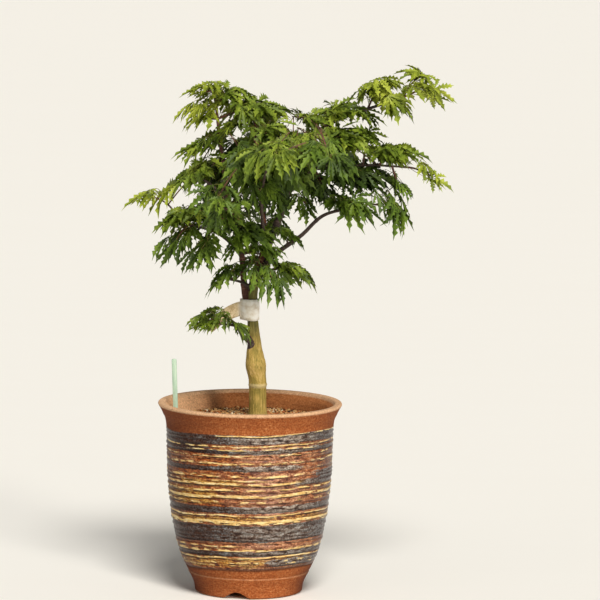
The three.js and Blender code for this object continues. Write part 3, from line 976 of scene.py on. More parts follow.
# Stems and boughs: radius at root and tip, the points that each runs through.
LIMBS = {
    "stem_left": (
        2.9,
        1.2,
        [(0.4, 1, 228), (-5, 0.5, 243), (-8.4, -2, 278), (-17.9, -4, 316), (-25, 0, 358), (-31, 2, 406)],
    ),
    "stem_middle": (2.7, 1.1, [(3.8, 1, 259), (10.8, 3, 286), (7.2, 3, 316), (3.6, 4, 348), (2, 4, 384)]),
    "stem_right": (
        3.5,
        1.0,
        [
            (4.4, 2, 259),
            (18.7, 5, 297),
            (26.6, 6, 317),
            (32, 6, 336),
            (43, 4, 359),
            (62, 0, 383),
            (122, -8, 406),
        ],
    ),
    "bough_right_low": (
        2.3,
        1.1,
        [(4, -2, 260), (20.5, -3, 277.5), (40, -6, 292.5), (58, -10, 309.5), (84, -22, 318)],
    ),
    "bough_right_mid": (1.7, 0.9, [(37, 5, 346), (60, -2, 347), (91, -8, 350.5), (120, -13, 350)]),
    "bough_right_front": (1.7, 0.9, [(32, 6, 333), (46, -24, 346), (64, -56, 357)]),
    "bough_right_back": (1.7, 0.9, [(31, 6, 329), (46, 30, 340), (68, 50, 350)]),
    "bough_left_low": (1.7, 0.9, [(-8.4, -2, 278), (-28, -8, 294), (-56, -15, 303)]),
    "bough_left_mid": (1.5, 0.9, [(-18, -4, 317), (-30, -4, 330), (-46, -4, 341)]),
    "bough_left_front": (1.5, 0.9, [(-12, -3, 294), (-18, -28, 312), (-28, -56, 325)]),
    "bough_left_back": (1.6, 0.9, [(-11, -3, 290), (-17, 26, 306), (-34, 50, 330)]),
    "bough_middle_front": (1.7, 0.9, [(10.6, 3, 288), (9, -16, 299), (8, -34, 330), (13, -60, 356)]),
    "bough_middle_back": (1.8, 0.9, [(9.4, 3, 300), (10, 32, 326), (7, 62, 350)]),
    "bough_low_left": (1.5, 0.9, [(1.4, 0, 248), (-8, -6, 254), (-20, -10, 257)]),
    "bough_low_right": (1.5, 0.9, [(3, 0, 254), (14, -9, 264), (29, -13, 267)]),
    "shoot_low": (1.9, 0.9, [(2.6, 0, 202), (-5.8, -3.6, 209), (-11, -9, 218), (-26, -15, 221)]),
}
COLLAR = {"swell": 0.55, "length": 4.5}  # how much thicker a limb is at its root, and how far that reaches
LEAF_SCARS = {"spacing": 21, "swell": 0.14, "length": 1.1}
TRUNK_MARKS = {"ring": 169, "swelling": 187, "greening": (204, 232)}  # heights
WOOD_GRID = 0.52  # the size of the squares that the wood's surface is made of
# The bark of each limb: 0 is olive, 1 brown and 2 grey, which the limbs not named here have.
BARK_KINDS = {"trunk": 0, "stem_middle": 1, "stem_left": 1.5}


def limb_line(name):
    """A limb's centre line, a point every half millimetre, with its radius and the distance from its root."""
    root, tip, path = LIMBS[name]
    line = curve_through(path, 0.5)
    travelled = np.concatenate([[0], np.cumsum(np.linalg.norm(np.diff(line, axis=0), axis=1))])
    radius = root + (tip - root) * travelled / travelled[-1]
    radius *= 1 + COLLAR["swell"] * np.exp(-travelled / COLLAR["length"])
    from_scar = (travelled + 7) % LEAF_SCARS["spacing"] - LEAF_SCARS["spacing"] / 2
    radius *= 1 + LEAF_SCARS["swell"] * np.exp(-((from_scar / LEAF_SCARS["length"]) ** 2))
    return line, radius, travelled


def tube(line, radius, sides):
    """Points and faces of a closed tube along a line, its rings kept from twisting."""
    forward = np.gradient(line, axis=0)
    forward /= np.linalg.norm(forward, axis=1)[:, None]
    across = np.cross(forward[0], (0, 0, 1) if abs(forward[0][2]) < 0.9 else (1, 0, 0))
    turn = 2 * np.pi * np.arange(sides) / sides
    points = []
    for point, ahead, size in zip(line, forward, radius):
        across = across - ahead * (across @ ahead)
        across /= np.linalg.norm(across)
        over = np.cross(ahead, across)
        points.append(point + size * (np.cos(turn)[:, None] * across + np.sin(turn)[:, None] * over))
    count = len(line)
    faces = [tuple(reversed(range(sides))), tuple(range((count - 1) * sides, count * sides))]
    for low in range(0, (count - 1) * sides, sides):
        for j in range(sides):
            k = (j + 1) % sides
            faces.append((low + j, low + k, low + sides + k, low + sides + j))
    return np.vstack(points), faces


def join_parts(parts):
    """One list of points and one of faces from several."""
    points, faces, start = [], [], 0
    for part_points, part_faces in parts:
        points.append(part_points)
        faces += [tuple(i + start for i in face) for face in part_faces]
        start += len(part_points)
    return np.vstack(points), faces


trunk_line = curve_through(TRUNK, 0.5)
lines = {"trunk": (trunk_line[:, [1, 2, 0]], trunk_line[:, 3], trunk_line[:, 0] - TRUNK[0][0])}
lines.update({name: limb_line(name) for name in LIMBS})


def bark():
    material, graph = new_material("bark")
    side = graph.attribute("bark_side", out="Vector")
    along = graph.attribute("bark_along")
    kind = graph.attribute("wood_kind")
    height = graph.part(graph.place(), "Z")
    grain_spot = side * (1.1, 1.1, 1.1) + graph.upwards(along * 0.11)
    patch_spot = side * (0.16, 0.16, 0.16) + graph.upwards(along * 0.1)
    ring_spot = side * (0.1, 0.1, 0.1) + graph.upwards(along * 1.6)
    grain = graph.noise(grain_spot, detail=5, roughness=0.6, seed=1)
    patch = graph.noise(patch_spot, detail=3, seed=2)
    rings = graph.noise(ring_spot, detail=2, seed=3)
    patchy, ringed = grain * 0.6 + patch * 0.4, grain * 0.5 + rings * 0.5
    olive = graph.shades(patchy, (0.32, "665a20"), (0.45, "93803a"), (0.56, "b7984e"), (0.7, "dcc084"))
    ring = graph.step(abs(height - TRUNK_MARKS["ring"]), 2.4, 0.8)
    olive = graph.mix(ring * 0.55, olive, paint("cdb98a"))
    swelling = graph.step(abs(height - TRUNK_MARKS["swelling"] + patch * 6), 8, 1)
    olive = graph.mix(swelling * graph.step(grain, 0.42, 0.6) * 0.4, olive, paint("c4a262"))
    foot = graph.step(height, SOIL["level"] + 6, SOIL["level"])
    olive = graph.mix(foot * 0.5, olive, paint("7c6a48"))
    green = graph.shades(patchy, (0.34, "3f3a1c"), (0.5, "6b6632"), (0.66, "948a4c"))
    brown = graph.shades(ringed, (0.34, "3a221a"), (0.5, "6e3d2b"), (0.68, "96604a"))
    grey = graph.shades(ringed, (0.34, "251d1a"), (0.5, "43352f"), (0.68, "6c5a50"))
    upper = graph.step(height + patch * 16, *TRUNK_MARKS["greening"])
    wood = graph.mix(upper, olive, green)
    wood = graph.mix(graph.step(kind, 0.4, 0.8), wood, brown)
    wood = graph.mix(graph.step(kind, 1.2, 1.8), wood, grey)
    roughness = 0.62 + grain * 0.25
    normal = graph.relief(grain * 0.35 + rings * 0.12, 0.9)
    graph.surface(Base_Color=wood, Roughness=roughness, Specular_IOR_Level=0.35, Normal=normal)
    return material


def bark_relief(side, along):
    """How far the bark stands out at each point, by its place beside its limb's centre line and along it."""
    heights = []
    for (x, y, z), t in zip(side, along):
        coarse = noise.noise(Vector((x * 0.85 + y * 0.2, y * 0.85 + z * 0.7, t * 0.07)))
        fine = noise.noise(Vector((x * 2.1, y * 2.1 + z * 1.6, t * 0.2)))
        heights.append(coarse + 0.5 * fine)
    return np.array(heights)


def grow_wood():
    """The wood in one skin: every limb as a tube, run together, smoothed and given its bark's relief."""
    parts = [tube(line, radius, 20 if name == "trunk" else 12) for name, (line, radius, _) in lines.items()]
    blank = new_object("wood_blank", *join_parts(parts))
    skin = blank.modifiers.new("skin", "REMESH")
    skin.mode = "VOXEL"
    skin.voxel_size = WOOD_GRID * MM
    ease = blank.modifiers.new("ease", "SMOOTH")
    ease.factor = 0.5
    ease.iterations = 4
    wood = plain_mesh(blank, "maple_wood")

    samples, radii, travelled, kinds = [], [], [], []
    for name, (line, radius, distance) in lines.items():
        samples.append(line)
        radii.append(radius)
        travelled.append(distance)
        kinds.append(np.full(len(line), BARK_KINDS.get(name, 2)))
    samples, radii = np.vstack(samples), np.concatenate(radii)
    travelled, kinds = np.concatenate(travelled), np.concatenate(kinds)
    finder = kdtree.KDTree(len(samples))
    for i, sample in enumerate(samples):
        finder.insert(sample, i)
    finder.balance()
    points = mesh_points(wood)
    # Of the six nearest points on centre lines, the one whose limb's surface is nearest.
    found = [min(finder.find_n(point, 6), key=lambda hit: hit[2] - radii[hit[1]])[1] for point in points]
    side = points - samples[found]
    along = travelled[found]
    outward = side / np.maximum(np.linalg.norm(side, axis=1), 1e-6)[:, None]
    depth = 0.055 * np.minimum(radii[found], 6)
    points += outward * (bark_relief(side, along) * depth)[:, None]
    wood.data.vertices.foreach_set("co", (points * MM).astype(np.float32).ravel())
    store(wood, "bark_side", side, "FLOAT_VECTOR")
    store(wood, "bark_along", along)
    store(wood, "wood_kind", kinds[found])
    wood.data.materials.append(bark())
    wood.data.shade_smooth()
    return wood


wood = grow_wood()
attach(wood, "root")
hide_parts(*lines)

# ---- Nursery tag ---------------------------------------------------------------------------------------
# A strap of thin white plastic, looped round both stems and pulled through its own slot, so that its tail
# stands out to the left and droops. It is bare.

TAG = {
    "centre": (-1.1, 0.3),
    "loop": (7.4, 5.7),  # half sizes of the loop
    "start": 186,
    "wrap": 372,  # degrees, so that the ends overlap
    "thick": 0.55,
    "height": 18,
    "bottom": 222.5,
    "tail": {"length": 25, "height": 12, "drop": 15.5, "forward": 5},
    "cells": 7,  # rows of cells up the strap
}


def strap(path, heights, rows):
    """A strip of surface: at each point of a path it stands from one height up to another."""
    points, faces = [], []
    for (x, y, z), height in zip(path, heights):
        points += [(x, y, z + height * row / rows) for row in range(rows + 1)]
    for i in range(len(path) - 1):
        for row in range(rows):
            low = i * (rows + 1) + row
            faces.append((low, low + rows + 1, low + rows + 2, low + 1))
    return points, faces


def tag_parts():
    """The strap's loop, its end a little outside its start, and the tail, curled and rounded at its end."""
    cx, cy = TAG["centre"]
    a, b = TAG["loop"]
    rows, tail = TAG["cells"], TAG["tail"]
    loop, loop_heights = [], []
    for turn in np.radians(np.linspace(TAG["start"], TAG["start"] + TAG["wrap"], 62)):
        wave = 0.5 * math.sin(2 * turn + 0.7)
        grown = 1 + 0.05 * (turn - math.pi) / (2 * math.pi)
        x = cx + (a + 0.2 * math.sin(3 * turn)) * grown * math.cos(turn)
        loop.append((x, cy + b * grown * math.sin(turn), TAG["bottom"] + wave))
        loop_heights.append(TAG["height"] - 1 - wave)
    out_path, out_heights = [], []
    start = cx - a
    for out in np.linspace(0, 1, 24):
        curl = 2.2 * math.sin(out * math.pi * 1.3)
        drop = tail["drop"] * out * (1 + 2 * out) / 3
        round_end = math.sqrt(max(0.04, 1 - max(0, (out - 0.86) / 0.14) ** 2))
        height = tail["height"] * round_end
        base = TAG["bottom"] + (TAG["height"] - height) / 2
        forward = tail["forward"] * out * out + curl * 0.4
        out_path.append((start - tail["length"] * out, cy - forward, base - drop))
        out_heights.append(height)
    return join_parts([strap(loop, loop_heights, rows), strap(out_path, out_heights, rows)])


def tag_plastic():
    material, graph = new_material("tag_plastic")
    place = graph.place()
    x = graph.part(place, "X")
    stain = graph.noise(place * (0.16, 0.16, 0.2), detail=4, roughness=0.6)
    scuff = graph.noise(place * (1.2, 1.2, 0.8), detail=4, seed=3)
    white = graph.shades(stain, (0.35, "d9cbb4"), (0.5, "efe8da"), (0.65, "faf6ee"))
    beige_tail = graph.shades(stain * 0.5 + scuff * 0.5, (0.36, "a98d5e"), (0.5, "cdb58a"), (0.66, "e6d6b4"))
    # The tail, left of x = -7 mm, turns beige.
    colour = graph.mix(graph.step(x, -7, -12), white, beige_tail)
    graph.surface(Base_Color=colour, Roughness=0.42 + scuff * 0.2, Normal=graph.relief(scuff * 0.12))
    return material


tag = new_object("nursery_tag_strap", *tag_parts(), material=tag_plastic())
body = tag.modifiers.new("body", "SOLIDIFY")
body.thickness = TAG["thick"] * MM
body.offset = 0
tag = plain_mesh(tag, "nursery_tag_strap")
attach(tag, "root")
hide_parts("nursery_tag")

# ---- Sprays: twigs, stalks and leaves ------------------------------------------------------------------
# Each mass of the crown is a spray: a twig grows on from the nearest limb into the mass, puts out side twigs
# where the mass is wide, and carries leaves on thin stalks, fanned out so that their points reach its edge.

# Each spray: heading of its twig from +X, dip of its outer end, tint of its leaves, how full it is, and how
# far right and up of its mass's middle it lies.
# A spray's tint is partly painted light: outer and top sprays take lit tints, inner masses the shaded one.
SPRAYS = {
    "left_tip": (-167, 12, "spring", 0.5, (2, 3)),
    "left_reach": (-166, 16, "light", 1.0, (-2, 0)),
    "left_hang": (-163, 32, "mid", 0.9, (0, 2)),
    "left_drop": (-142, 46, "mid", 1.0, (0, 0)),
    "left_body": (170, 6, "deep", 1.4, (0, 0)),
    "left_shelf": (-169, 19, "light", 1.0, (-6, 0)),
    "left_upper": (-170, 22, "light", 1.0, (-6, 0)),
    "left_eave": (-168, 18, "spring", 1.0, (-6, 3)),
    "crest_left": (-173, 4, "spring", 1.2, (-5, -4)),
    "crest_middle": (-7, 4, "light", 1.3, (0, -3)),
    "brow": (-5, -2, "light", 1.5, (0, 1)),
    "heart_left": (-122, 50, "mid", 1.6, (0, 0)),
    "heart_middle": (-70, 48, "mid", 1.9, (0, -8)),
    "heart_low": (-4, 4, "mid", 1.4, (0, 0)),
    "low_left": (-169, 23, "mid", 1.0, (0, 3)),
    "low_middle": (-28, 44, "mid", 1.2, (4, -3)),
    "low_right": (-8, 16, "light", 1.0, (2, -2)),
    "arm_tip": (-11, 14, "spring", 1.0, (2, 1)),
    "arm_peak": (171, -28, "spring", 1.0, (-3, 0)),
    "arm_middle": (-5, -22, "spring", 1.5, (1, 2)),
    "arm_eave": (-11, 17, "spring", 1.0, (0, 4)),
    "arm_root": (-3, -23, "light", 1.4, (6, 0)),
    "right_upper": (-8, 3, "light", 1.4, (0, 0)),
    "right_middle": (-6, 0, "light", 1.2, (6, 1)),
    "right_tip": (-10, 26, "spring", 0.9, (5, -1)),
    "right_body": (-5, 8, "deep", 1.8, (0, 0)),
    "right_low": (-12, 14, "mid", 1.3, (0, 1)),
    "right_drop": (-17, 48, "mid", 1.2, (1, 5)),
    "inner_drop": (-16, 44, "deep", 1.7, (7, 10)),
    "shoot_left": (-167, 14, "light", 1.2, (-1, 6)),
    "shoot_right": (-10, 34, "light", 1.0, (0, 0)),
    "back_left": (156, 16, "light", 1.0, (0, 0)),
    "back_middle": (91, 12, "light", 1.0, (0, 0)),
    "back_right": (21, 12, "light", 1.0, (0, 0)),
    "back_low": (113, 24, "mid", 1.0, (0, 0)),
    "back_crest": (132, 4, "spring", 1.0, (0, 0)),
    "front_left": (-118, 22, "mid", 1.0, (0, 0)),
    "front_middle": (-106, 28, "light", 1.0, (0, 0)),
    "front_right": (-63, 32, "mid", 1.0, (0, 0)),
}
# Sprays between the masses: middle, half sizes (along, across, over), heading, dip and tint.
SPRAYS_BETWEEN = [
    ((20, -4, 324), (20, 14, 12), -80, 50, "deep"),
    ((-22, -4, 379), (16, 11, 7), -172, 12, "light"),
    ((90, -5, 389), (18, 12, 8), -8, 14, "light"),
    ((97, -6, 373), (14, 10, 6), -15, 10, "light"),
    ((4, 22, 264), (15, 11, 8), 85, 24, "mid"),
    ((22, 30, 292), (16, 12, 9), 65, 30, "mid"),
    ((32, -8, 289), (14, 11, 7), -12, 20, "mid"),
    ((120, -10, 331), (18, 12, 10), -8, 45, "mid"),
    ((12, -16, 277), (18, 12, 9), -20, 20, "mid"),
    ((-14, -12, 281), (16, 12, 9), -150, 40, "mid"),
    ((58, -2, 330), (20, 14, 9), -30, 40, "deep"),
    ((-46, -4, 384), (14, 10, 6), -172, 20, "spring"),
    ((51, -3, 384), (15, 12, 8), -20, 8, "light"),
    ((44, -6, 316), (14, 10, 8), -70, 50, "mid"),
    ((14, -34, 376), (18, 14, 8), -80, 12, "light"),
    ((-8, -38, 352), (18, 14, 9), -110, 24, "mid"),
    ((40, -38, 362), (18, 14, 9), -60, 20, "light"),
    ((6, -44, 330), (18, 14, 9), -95, 34, "mid"),
    ((10, 36, 376), (18, 14, 8), 85, 12, "light"),
    ((-14, 34, 354), (18, 14, 9), 115, 22, "mid"),
    ((42, 34, 364), (18, 14, 9), 60, 18, "light"),
    ((2, 48, 328), (18, 14, 9), 95, 32, "mid"),
    ((30, 44, 334), (18, 14, 9), 70, 30, "mid"),
    ((-30, 36, 318), (18, 14, 9), 130, 30, "deep"),
    ((-26, -38, 306), (16, 13, 9), -125, 34, "mid"),
]
# Blade colours: the dark, middle and light shade of each tint.
# Tints paint light by spray: the lighter are painted sunlight, the brightest also young leaves' colour; the
# deepest is painted shade.
TINTS = {
    "spring": ("5d6c13", "8a9724", "b5bd46"),
    "light": ("3f4f0c", "677b18", "93a132"),
    "mid": ("33460c", "546c16", "748a28"),
    "deep": ("22300a", "3a4f12", "52681c"),
}
# Leaf lobes: their length and half width, and the angle and the share of that length of each from the middle.
LEAF = {"reach": 32, "half_width": 3.9, "angles": (0, 40, 80, 118), "reaches": (1, 0.92, 0.68, 0.34)}
LOBE_TEETH = {"long": 4, "short": 2}  # on each side of a lobe
# A lobe's fullness at each share of its length: it swells from a narrow waist and ends in a thin tail.
LOBE_SHARES = (0, 0.12, 0.28, 0.45, 0.6, 0.74, 0.84, 0.92, 1)
LOBE_FULLNESS = (0, 0.2, 0.58, 1, 1, 0.84, 0.6, 0.36, 0)
RIB_SHARES = (0, 0.27, 0.52, 0.78, 1)
RIB_HALF_WIDTH = 0.28
# Teeth: where the first notch is and how far on the next, how wide the lobe is at a notch and at a point, and
# how far each point leans towards the next notch.
TEETH = {"first": 0.2, "step": 0.165, "notch": 0.48, "point": 1.24, "lean": 0.6}
# How a leaf holds its lobes when it lies open and when it hangs.
HABITS = ({"spread": (0.84, 1.08), "curl": (2, 8)}, {"spread": (0.5, 0.72), "curl": (3, 10)})
LEAF_SHAPES = 10  # of each habit
HANGS = 0.42  # a leaf hangs if its direction falls more steeply than this
GROUND_PER_LEAF = 35  # square millimetres of a mass's length times width for each of its leaves
# A spray's first leaves ring its edge, and the rest are inside: how far out their tips lie, and their sizes.
EDGE_LEAVES = {"most": 9, "out": (0.94, 1.1), "sizes": (0.7, 1.02)}
INNER_LEAVES = {"out": (0.3, 0.85), "sizes": (0.5, 0.86)}
STALK = {"length": 13, "longest": 20, "radii": (0.44, 0.3)}
TWIG = {"radii": (1.0, 0.5), "side_radii": (0.6, 0.42)}
DROOP = 9.0  # how far a leaf hangs below its stalk's line, for each metre out squared


def unit(vector):
    return vector / np.linalg.norm(vector)


def lobe(centre_angle, reach, gaps, teeth, curl, rng):
    """One lobe of a leaf: its points, its faces, and which faces are its rib. gaps are half the angles to its
    neighbours on the left and right, and curl is how far its tip bends down."""
    bend, tail = rng.normal(0, 2) + centre_angle * 0.02, rng.normal(0, 3)
    fold, twist = rng.uniform(0.3, 0.8), rng.normal(0, 0.3)
    half_width = LEAF["half_width"] * (reach / LEAF["reach"]) ** 0.6 * rng.uniform(0.88, 1.1)
    heading = math.radians(centre_angle)
    ahead = np.array([math.cos(heading), math.sin(heading), 0])
    left = np.array([-math.sin(heading), math.cos(heading), 0])
    upward = np.array([0, 0, 1.0])

    def on_rib(share):
        sideways = bend * share**2 + tail * max(0, share - 0.7) ** 1.5 * 4
        return ahead * reach * share + left * sideways - upward * curl * share**2.3

    def on_edge(share, fullness, side, gap):
        width = half_width * fullness * np.interp(share, LOBE_SHARES, LOBE_FULLNESS)
        width = min(width, share * reach * math.tan(math.radians(gap)))
        return on_rib(share) + left * side * width + upward * width * (fold + side * twist)

    points, faces, is_rib = [], [], []
    for side, gap in zip((1, -1), gaps):
        shift = rng.uniform(-0.2, 0.2) * TEETH["step"]
        edge = []
        for tooth in range(teeth):
            notch = TEETH["first"] + TEETH["step"] * tooth
            edge.append(on_edge(notch, TEETH["notch"], side, gap))
            edge.append(on_edge(notch + TEETH["lean"] * TEETH["step"] + shift, TEETH["point"], side, gap))
        edge.append(on_edge(notch + TEETH["step"], TEETH["notch"], side, gap))
        outline = [*[on_rib(share) for share in RIB_SHARES], *reversed(edge)]
        face = range(len(points), len(points) + len(outline))
        faces.append(tuple(face) if side > 0 else tuple(reversed(face)))
        is_rib.append(False)
        points += outline
    for inner, outer in zip(RIB_SHARES[:-2], RIB_SHARES[1:-1]):
        start = len(points)
        for share in (inner, outer):
            half = RIB_HALF_WIDTH * (1 - 0.8 * share)
            points += [on_rib(share) + left * side * half + upward * (fold * half + 0.14) for side in (-1, 1)]
        faces.append((start, start + 2, start + 3, start + 1))
        is_rib.append(True)
    return points, faces, is_rib


def leaf_shapes(rng):
    """A collection of leaves, each of seven deeply cut, toothed lobes: first open ones, then ones that hang
    with their lobes drawn together. A leaf lies along +X from its stalk."""
    shapes = new_collection("leaf_shapes")
    angles = [side * angle for angle in LEAF["angles"] for side in (-1, 1)][1:]
    reaches = [share for share in LEAF["reaches"] for _ in (-1, 1)][1:]
    order = np.argsort(angles)
    for number in range(2 * LEAF_SHAPES):
        habit = HABITS[number // LEAF_SHAPES]
        spread = rng.uniform(*habit["spread"])
        turned = [angles[i] * spread + rng.normal(0, 2.5) for i in order]
        lengths = [LEAF["reach"] * reaches[i] * rng.uniform(0.82, 1.08) for i in order]
        ends = [turned[0] - 44, *turned, turned[-1] + 44]
        points, faces, is_rib = [], [], []
        for before, angle, after, reach in zip(ends, turned, ends[2:], lengths):
            gaps = (after - angle) / 2, (angle - before) / 2
            teeth = LOBE_TEETH["long" if reach > 0.5 * LEAF["reach"] else "short"]
            curl = rng.uniform(*habit["curl"])
            lobe_points, lobe_faces, lobe_rib = lobe(angle, reach, gaps, teeth, curl, rng)
            faces += [tuple(i + len(points) for i in face) for face in lobe_faces]
            points += lobe_points
            is_rib += lobe_rib
        shape = new_object(f"leaf_{number:02d}", points, faces)
        rib = shape.data.attributes.new("rib", "BOOLEAN", "FACE")
        rib.data.foreach_set("value", is_rib)
        move_to(shapes, shape)
    return shapes


def spray_axes(heading, dip):
    """The axes along, across and over a spray."""
    turn, fall = math.radians(heading), math.radians(dip)
    along = np.array([math.cos(turn) * math.cos(fall), math.sin(turn) * math.cos(fall), -math.sin(fall)])
    across = np.array([-math.sin(turn), math.cos(turn), 0])
    return np.stack([along, across, np.cross(along, across)])


def mass_extent(name, axes):
    """The middle of a mass of the crown and its half sizes along the axes."""
    corners = mesh_points(frame["nodes"]["leaves_" + name]) @ axes.T
    low, high = corners.min(axis=0), corners.max(axis=0)
    return (low + high) / 2 @ axes, (high - low) / 2


class Growth:
    """What grows on the limbs: sticks are lines of points with their radii, and leaves are places."""

    def __init__(self):
        self.twigs = []
        self.stalks = []
        self.leaves = {tint: [] for tint in TINTS}

    def twig(self, start, through, end, radii):
        path = curve_through([start, through, end], 2.5)
        self.twigs.append((path, np.linspace(*radii, len(path))))
        return path

    def leaf(self, twig, foot, ahead, over, size, tint, rng):
        """Places a leaf and joins it to a twig by a stalk, with a side twig where the twig is too far."""
        # The stalk leaves the twig about a stalk's length behind the leaf, or nearer to it.
        distance = np.linalg.norm(twig - (foot - ahead * 4), axis=1)
        near = int(np.argmin(np.abs(distance - STALK["length"]) + 0.6 * distance))
        start = twig[near]
        if distance[near] > STALK["longest"]:
            start_of_stalk = foot - ahead * STALK["length"] + np.array([0, 0, 1.0])
            middle = (start + start_of_stalk) / 2 + np.array([0, 0, 1.5])
            self.twig(start, middle, start_of_stalk, TWIG["side_radii"])
            start = start_of_stalk
        length = np.linalg.norm(foot - start)
        bow = foot - ahead * 0.45 * length + np.array([0, 0, 0.08 * length])
        path = curve_through([start, (start + 3 * bow) / 4, foot], 2.5)
        self.stalks.append((path, np.linspace(*STALK["radii"], len(path)) * size))
        across = unit(np.cross(over, ahead))
        rolled = Matrix.Rotation(rng.normal(0, 0.4), 3, Vector(ahead))
        across = np.array(rolled @ Vector(across))
        axes = Matrix([ahead, across, np.cross(ahead, across)]).transposed()
        shape = rng.integers(0, LEAF_SHAPES) + (LEAF_SHAPES if -ahead[2] > HANGS else 0)
        self.leaves[tint].append((foot, axes.to_euler(), size, shape))


def grow_spray(growth, middle, half_sizes, axes, tint, fullness, rng):
    """Grows one spray: a twig from the nearest limb, and leaves fanned out from it to the spray's edge."""
    along, across, over = axes
    length, width, thick = half_sizes
    leaf_reach = LEAF["reach"] * min(0.98, max(0.74, length / 26))
    count = max(2, round(fullness * length * width / GROUND_PER_LEAF))

    wanted = middle - 0.6 * length * along
    distance = np.linalg.norm(limb_points - wanted, axis=1)
    above = limb_points[:, 2] - wanted[2]
    root = limb_points[np.argmin(distance + 0.25 * above)]
    end = middle + along * max(-0.25 * length, length - 0.85 * leaf_reach)
    through = (root + end) / 2 + (0, 0, 0.1 * np.linalg.norm(end - root)) + rng.normal(0, 0.8, 3)
    twig = growth.twig(root, through, end, TWIG["radii"])

    # A narrow spray fans forwards only, and a wide one nearly all round.
    widest = math.radians(50 + 100 * min(1, max(0, (width / length - 0.45) / 0.55)))
    ring = min(count, EDGE_LEAVES["most"])
    for k in range(count):
        side = 1 if k % 2 else -1
        if k < ring:
            kind = EDGE_LEAVES
            turn = side * widest * ((k + 1) // 2) / max(1, ring // 2)
        else:
            kind = INNER_LEAVES
            turn = side * rng.uniform(0.1, 1) * widest
        out, grown = rng.uniform(*kind["out"]), rng.uniform(*kind["sizes"])
        turn += rng.normal(0, 0.12)
        to_edge = 1 / math.hypot(math.cos(turn) / length, math.sin(turn) / width)
        size = grown * leaf_reach / LEAF["reach"]
        fanned = 0.8 * (math.cos(turn) * along + math.sin(turn) * across) + 0.8 * along
        ahead = unit(fanned + rng.normal(0, 0.24, 3) + (0, 0, -0.15))
        tip = middle + to_edge * out * (math.cos(turn) * along + math.sin(turn) * across)
        tip = tip + over * thick * rng.uniform(-0.9, 0.35)
        level = math.hypot(ahead[0], ahead[1])
        reach = size * LEAF["reach"] * 0.95
        # The leaf starts its reach behind its tip, and as much higher as it will droop.
        foot = tip - ahead * reach + np.array([0, 0, DROOP * MM * (level * reach) ** 2 + 3 * level])
        behind, _, height = axes @ (foot - middle)
        too_high = max(0, height - thick * rng.uniform(0.3, 0.95))
        too_far_back = min(0, behind + 1.05 * length)
        foot = foot - over * too_high - along * too_far_back
        growth.leaf(twig, foot, ahead, over, size, tint, rng)


def own(graph, name, kind):
    """What the mesh itself says under a name."""
    return graph.node("GeometryNodeInputNamedAttribute", {"data_type": kind}, {"Name": name})


def stick_tree():
    """Turns lines of edges into round tapering sticks."""
    graph, given = new_tree("round_sticks", {"Sides": "Int", "Stuff": "Material"})
    line = graph.node("GeometryNodeMeshToCurve", {}, {"Mesh": given["Geometry"]})
    ring = graph.node("GeometryNodeCurvePrimitiveCircle", {}, {"Resolution": given["Sides"], "Radius": 1.0})
    thickness = own(graph, "thickness", "FLOAT")
    round_stick = graph.node(
        "GeometryNodeCurveToMesh",
        {},
        {"Curve": line, "Profile Curve": ring, "Scale": thickness, "Fill Caps": True},
    )
    smooth = graph.node("GeometryNodeSetShadeSmooth", {}, {"Geometry": round_stick})
    end_tree(graph, smooth, given["Stuff"])
    return graph


def leaf_tree():
    """Sets a leaf on each point, turned and sized by the point's own values, and bends it down."""
    inputs = {"Shapes": "Collection", "Droop": "Float", "Blade": "Material", "Rib": "Material"}
    graph, given = new_tree("hang_leaves", inputs)
    marked = graph.node(
        "GeometryNodeStoreNamedAttribute",
        {"data_type": "FLOAT_VECTOR", "domain": "POINT"},
        {"Geometry": given["Geometry"], "Name": "foot", "Value": graph.node("GeometryNodeInputPosition")},
    )
    shapes = graph.node(
        "GeometryNodeCollectionInfo", {}, {"Collection": given["Shapes"], "Separate Children": True}
    )
    hung = graph.node(
        "GeometryNodeInstanceOnPoints",
        {},
        {
            "Points": marked,
            "Instance": shapes,
            "Pick Instance": True,
            "Instance Index": own(graph, "shape", "INT"),
            "Rotation": own(graph, "turn", "FLOAT_VECTOR"),
            "Scale": own(graph, "size", "FLOAT"),
        },
    )
    real = graph.node("GeometryNodeRealizeInstances", {}, {"Geometry": hung})
    away = (graph.node("GeometryNodeInputPosition") - own(graph, "foot", "FLOAT_VECTOR")) * (1, 1, 0)
    dot = {"operation": "DOT_PRODUCT"}
    squared = graph.node("ShaderNodeVectorMath", dot, {0: away, 1: away}, out="Value")
    fall = graph.upwards(0 - squared * given["Droop"])
    bent = graph.node("GeometryNodeSetPosition", {}, {"Geometry": real, "Offset": fall})
    blades = graph.node("GeometryNodeSetMaterial", {}, {"Geometry": bent, "Material": given["Blade"]})
    ribs = {"Geometry": blades, "Selection": own(graph, "rib", "BOOLEAN"), "Material": given["Rib"]}
    graph.node("NodeGroupOutput", {}, {"Geometry": graph.node("GeometryNodeSetMaterial", {}, ribs)})
    return graph


def blade_material(name, shades):
    material, graph = new_material(name)
    place = graph.place()
    patch = graph.noise(place * (0.055, 0.055, 0.055), detail=2)
    mottle = graph.noise(place * (0.5, 0.5, 0.5), detail=3, seed=2)
    dark, middle, light = shades
    colour = graph.shades(patch * 0.7 + mottle * 0.3, (0.38, dark), (0.5, middle), (0.62, light))
    normal = graph.relief(mottle * 0.35, 0.7)
    graph.surface(Base_Color=colour, Roughness=0.5 + mottle * 0.15, Specular_IOR_Level=0.4, Normal=normal)
    return material


def stick_material(name, dark, middle, light):
    material, graph = new_material(name)
    mottle = graph.noise(graph.place() * (0.35, 0.35, 0.35), detail=3)
    colour = graph.shades(mottle, (0.36, dark), (0.5, middle), (0.64, light))
    graph.surface(Base_Color=colour, Roughness=0.55, Normal=graph.relief(mottle * 0.2))
    return material


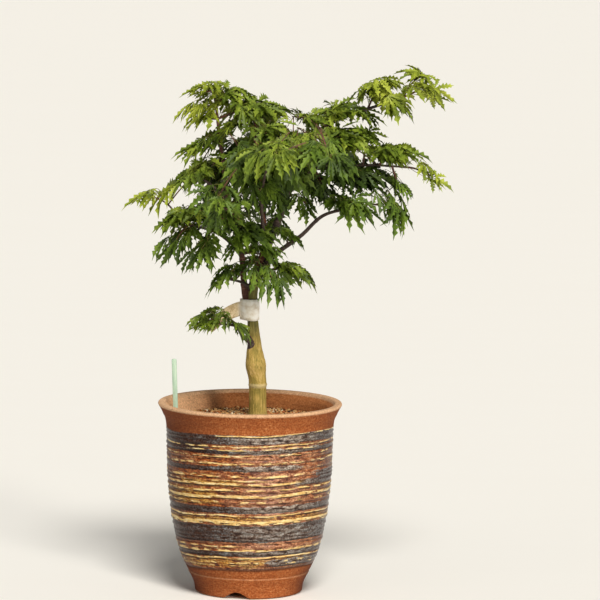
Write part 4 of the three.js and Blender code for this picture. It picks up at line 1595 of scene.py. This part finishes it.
def sticks_object(name, sticks):
    """The sticks as lines of edges, each point with its thickness."""
    points = np.vstack([path for path, _ in sticks])
    edges, start = [], 0
    for path, _ in sticks:
        edges += [(i, i + 1) for i in range(start, start + len(path) - 1)]
        start += len(path)
    made = new_object(name, points, edges=edges)
    store(made, "thickness", np.concatenate([radii for _, radii in sticks]) * MM)
    return made


limb_points = np.vstack([line[::4] for name, (line, *_) in lines.items() if name != "trunk"])
rng = np.random.default_rng(20)
growth = Growth()
for name, (heading, dip, tint, fullness, (rightwards, upwards)) in SPRAYS.items():
    axes = spray_axes(heading, dip)
    middle, half_sizes = mass_extent(name, axes)
    grow_spray(growth, middle + (rightwards, 0, upwards), half_sizes, axes, tint, fullness, rng)
for middle, half_sizes, heading, dip, tint in SPRAYS_BETWEEN:
    grow_spray(growth, np.array(middle, float), half_sizes, spray_axes(heading, dip), tint, 1, rng)

round_sticks = stick_tree()
twig_bark = stick_material("twig_bark", "3a2018", "5b3524", "7d5236")
stalk_skin = stick_material("leaf_stalk", "5a3a20", "6f6a2c", "8d8c42")
for name, lines_of_sticks, sides, stuff in (
    ("maple_twigs", growth.twigs, 7, twig_bark),
    ("leaf_stalks", growth.stalks, 5, stalk_skin),
):
    thin_lines = sticks_object("thin_lines", lines_of_sticks)
    sticks = run_tree(thin_lines, name, round_sticks, {"Sides": sides, "Stuff": stuff})
    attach(sticks, "root")

shapes = leaf_shapes(rng)
hang_leaves = leaf_tree()
for tint, shades in TINTS.items():
    feet, turns, sizes, kinds = zip(*growth.leaves[tint])
    spots = new_object("leaf_spots", feet)
    store(spots, "turn", turns, "FLOAT_VECTOR")
    store(spots, "size", sizes)
    store(spots, "shape", kinds, "INT")
    blade = blade_material(f"blade_{tint}", shades)
    rib = stick_material(f"rib_{tint}", *shades)
    inputs = {"Shapes": shapes, "Droop": DROOP, "Blade": blade, "Rib": rib}
    leaves = run_tree(spots, f"maple_leaves_{tint}", hang_leaves, inputs)
    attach(leaves, "root")
    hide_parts(*[f"leaves_{name}" for name, spray in SPRAYS.items() if spray[2] == tint])
empty_collection(shapes)
